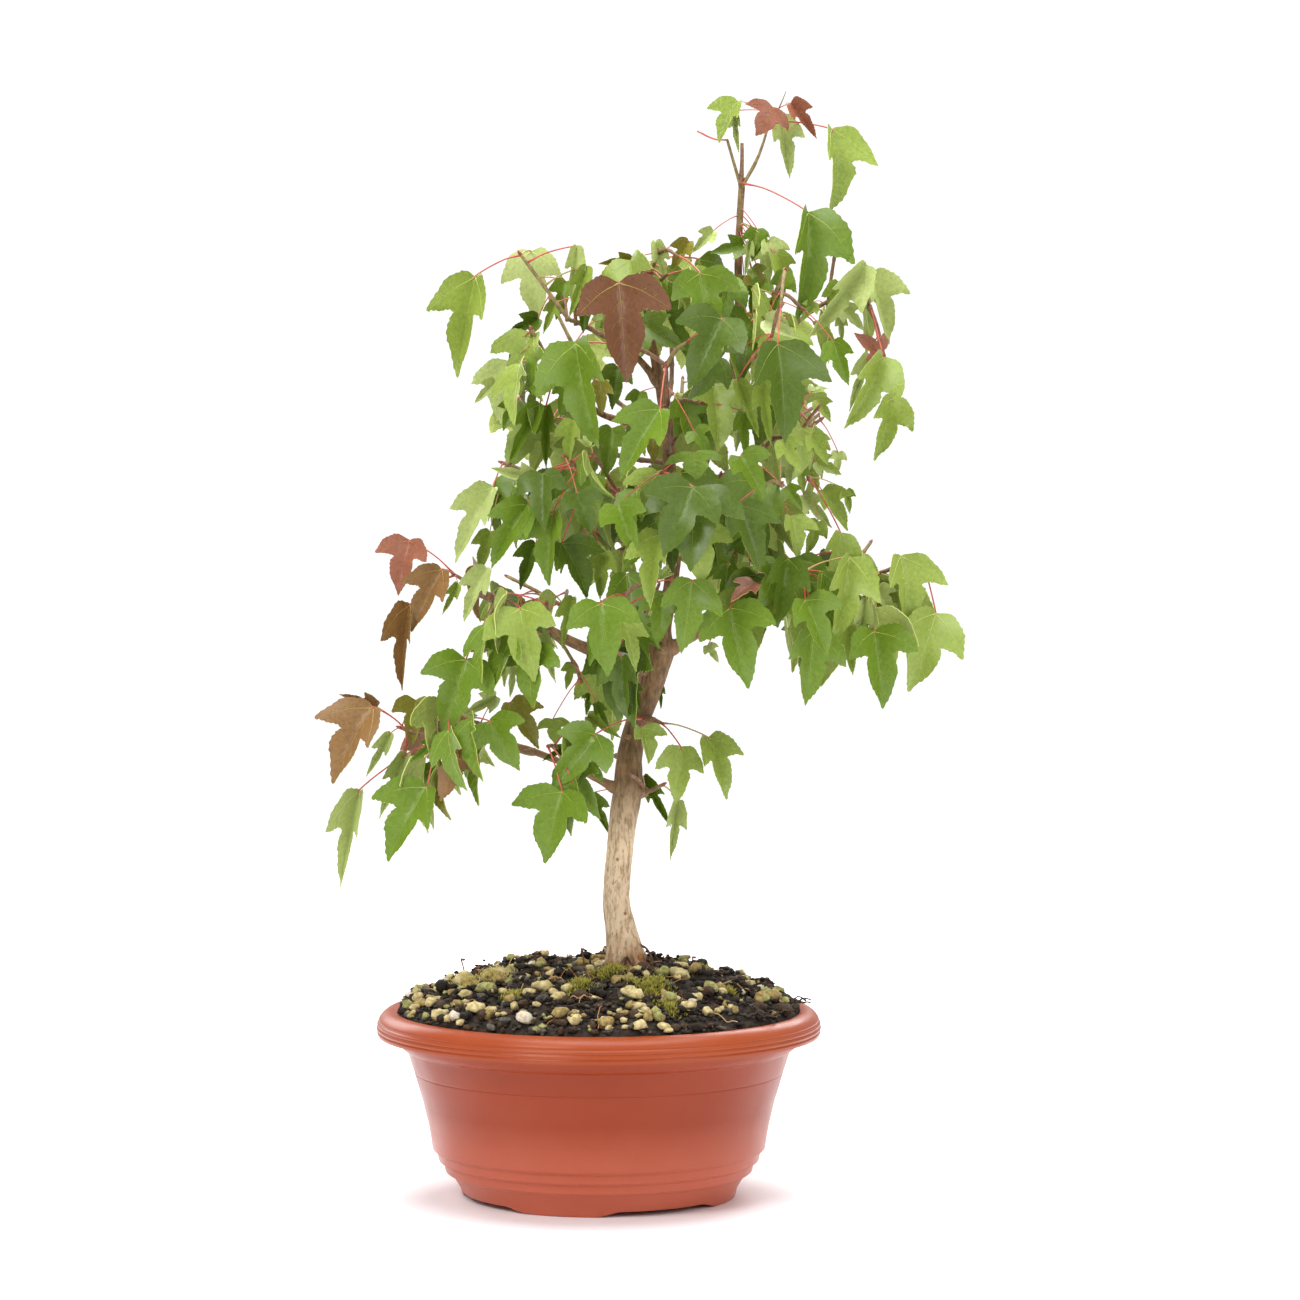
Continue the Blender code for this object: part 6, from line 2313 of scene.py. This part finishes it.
    def leaf_draft(self, blades: list[Blade], patterns: dict[Shape, list[LeafPattern]]) -> Draft:
        """Return the draft of a piece of leaves.

        Args:
            blades: The leaves in it.
            patterns: The flat leaves of each shape.

        Returns:
            The draft, with the face, the back and the veins in three slots.
        """
        draft = Draft()
        for order, blade in enumerate(blades):
            pattern = patterns[blade.shape][order % 2]
            count = len(pattern.flat)
            flat = np.vstack((pattern.flat, pattern.flat))
            height = np.concatenate((np.zeros(count), np.full(count, -pattern.thickness)))
            start = draft.count
            draft.add(blade.bent(flat, height), pattern.faces, 0)
            for faces, slot in ((pattern.backs, 1), (pattern.rims, 2)):
                draft.faces.extend([start + index for index in face] for face in faces)
                draft.slots.extend([slot] * len(faces))
            veins = pattern.vein_points
            draft.add(blade.bent(veins[:, :2], veins[:, 2]), pattern.vein_faces, 2)
        return draft

    def build_stalks(self) -> None:
        """Make the petioles: thin arched stalks, thicker at their ends, red or greenish red."""
        rng = random.Random(self.stalk_seed)
        draft = Draft()
        for blade in self.blades:
            arch = self.arch * (blade.base - blade.node).length * UP
            path = [blade.node, blade.node.lerp(blade.base, 0.35) + arch]
            path.append(blade.node.lerp(blade.base, 0.75) + 0.7 * arch)
            inner = blade.base + blade.along * 1.2 - blade.face * 0.3
            run = smooth_run([*path, blade.base - blade.face * 0.2, inner], 3)
            thin = 0.36 if blade.length > 24.0 else 0.24
            last = len(run) - 1
            radii = []
            for i in range(last + 1):
                radii.append(thin * (1.0 + 0.9 * math.exp(-((i / 1.2) ** 2)) + 0.25 * (i / last) ** 6))
            green = blade.tint in (Tint.FRESH, Tint.PALE) and rng.random() < self.green_stalks
            add_tube(draft, run, radii, 6, 1 if green else 0)
        bare = smooth_run([self.studio.through(pixel, -4.0) for pixel in self.bare_stalk], 4)
        add_tube(draft, bare, [0.42] * len(bare), 6)
        finishes = (
            Plain("petiole_red", (0.42, 0.06, 0.045), (0.55, 0.12, 0.07), 220.0, 0.42, 0.0, 0.5),
            Plain("petiole_green", (0.34, 0.30, 0.08), (0.48, 0.26, 0.10), 220.0, 0.45, 0.0, 0.5),
        )
        draft.make("petioles", [finish.make() for finish in finishes], "foliage_bronze")

    def build_twigs(self) -> None:
        """Make the twigs with their swollen nodes, and the buds at their tips."""
        draft = Draft()
        for order, (path, radii) in enumerate(self.twigs):
            run = smooth_run(path, 3)
            scale = (len(radii) - 1) / (len(run) - 1)
            sizes = []
            for i in range(len(run)):
                place = i * scale
                low = min(int(place), len(radii) - 2)
                size = radii[low] + (radii[low + 1] - radii[low]) * (place - low)
                sizes.append(size * (1.0 + 0.22 * max(0.0, math.sin(0.9 * i + order)) ** 6))
            start = run[0] - (run[1] - run[0]).normalized() * 1.5
            add_tube(draft, [start, *run], [sizes[0] * 1.25, *sizes], 8, 1 if order % 3 == 0 else 0)
        finishes = {
            "twig_brown": ((0.15, 0.075, 0.04), (0.26, 0.14, 0.075)),
            "twig_olive": ((0.17, 0.12, 0.045), (0.28, 0.20, 0.08)),
        }
        twigs = draft.make("twigs", shades(finishes, 500.0, 0.6, 0.0003), "bark")
        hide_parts(*[mass.name for mass in MASSES])
        buds = Draft()
        for tip, way in self.buds:
            path = [tip - 0.4 * way, tip + 0.7 * way, tip + 1.7 * way, tip + 2.6 * way]
            add_tube(buds, path, [0.7, 0.85, 0.6, 0.12], 7)
        finish = Plain("bud_red", (0.16, 0.04, 0.03), (0.28, 0.09, 0.05), 500.0, 0.5, 0.0)
        buds.make("buds", [finish.make()], "bark")


def main() -> None:
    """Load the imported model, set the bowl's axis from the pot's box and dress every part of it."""
    logging.basicConfig(level=logging.INFO, format="%(name)s: %(message)s")
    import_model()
    low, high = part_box("pot")
    Draft.axis = Vector(((low.x + high.x) / 2, (low.y + high.y) / 2, 0.0))
    studio = Studio()
    studio.build()
    log.info("studio: camera, floor and lights")
    Bowl().build()
    Bed().build()
    limbs = Limbs()
    limbs.lay()
    limbs.build()
    foliage = Foliage(limbs, studio)
    foliage.grow()
    foliage.build()
    log.info("foliage: %d leaves on %d twigs", len(foliage.blades), len(foliage.twigs))


if __name__ == "__main__":
    main()
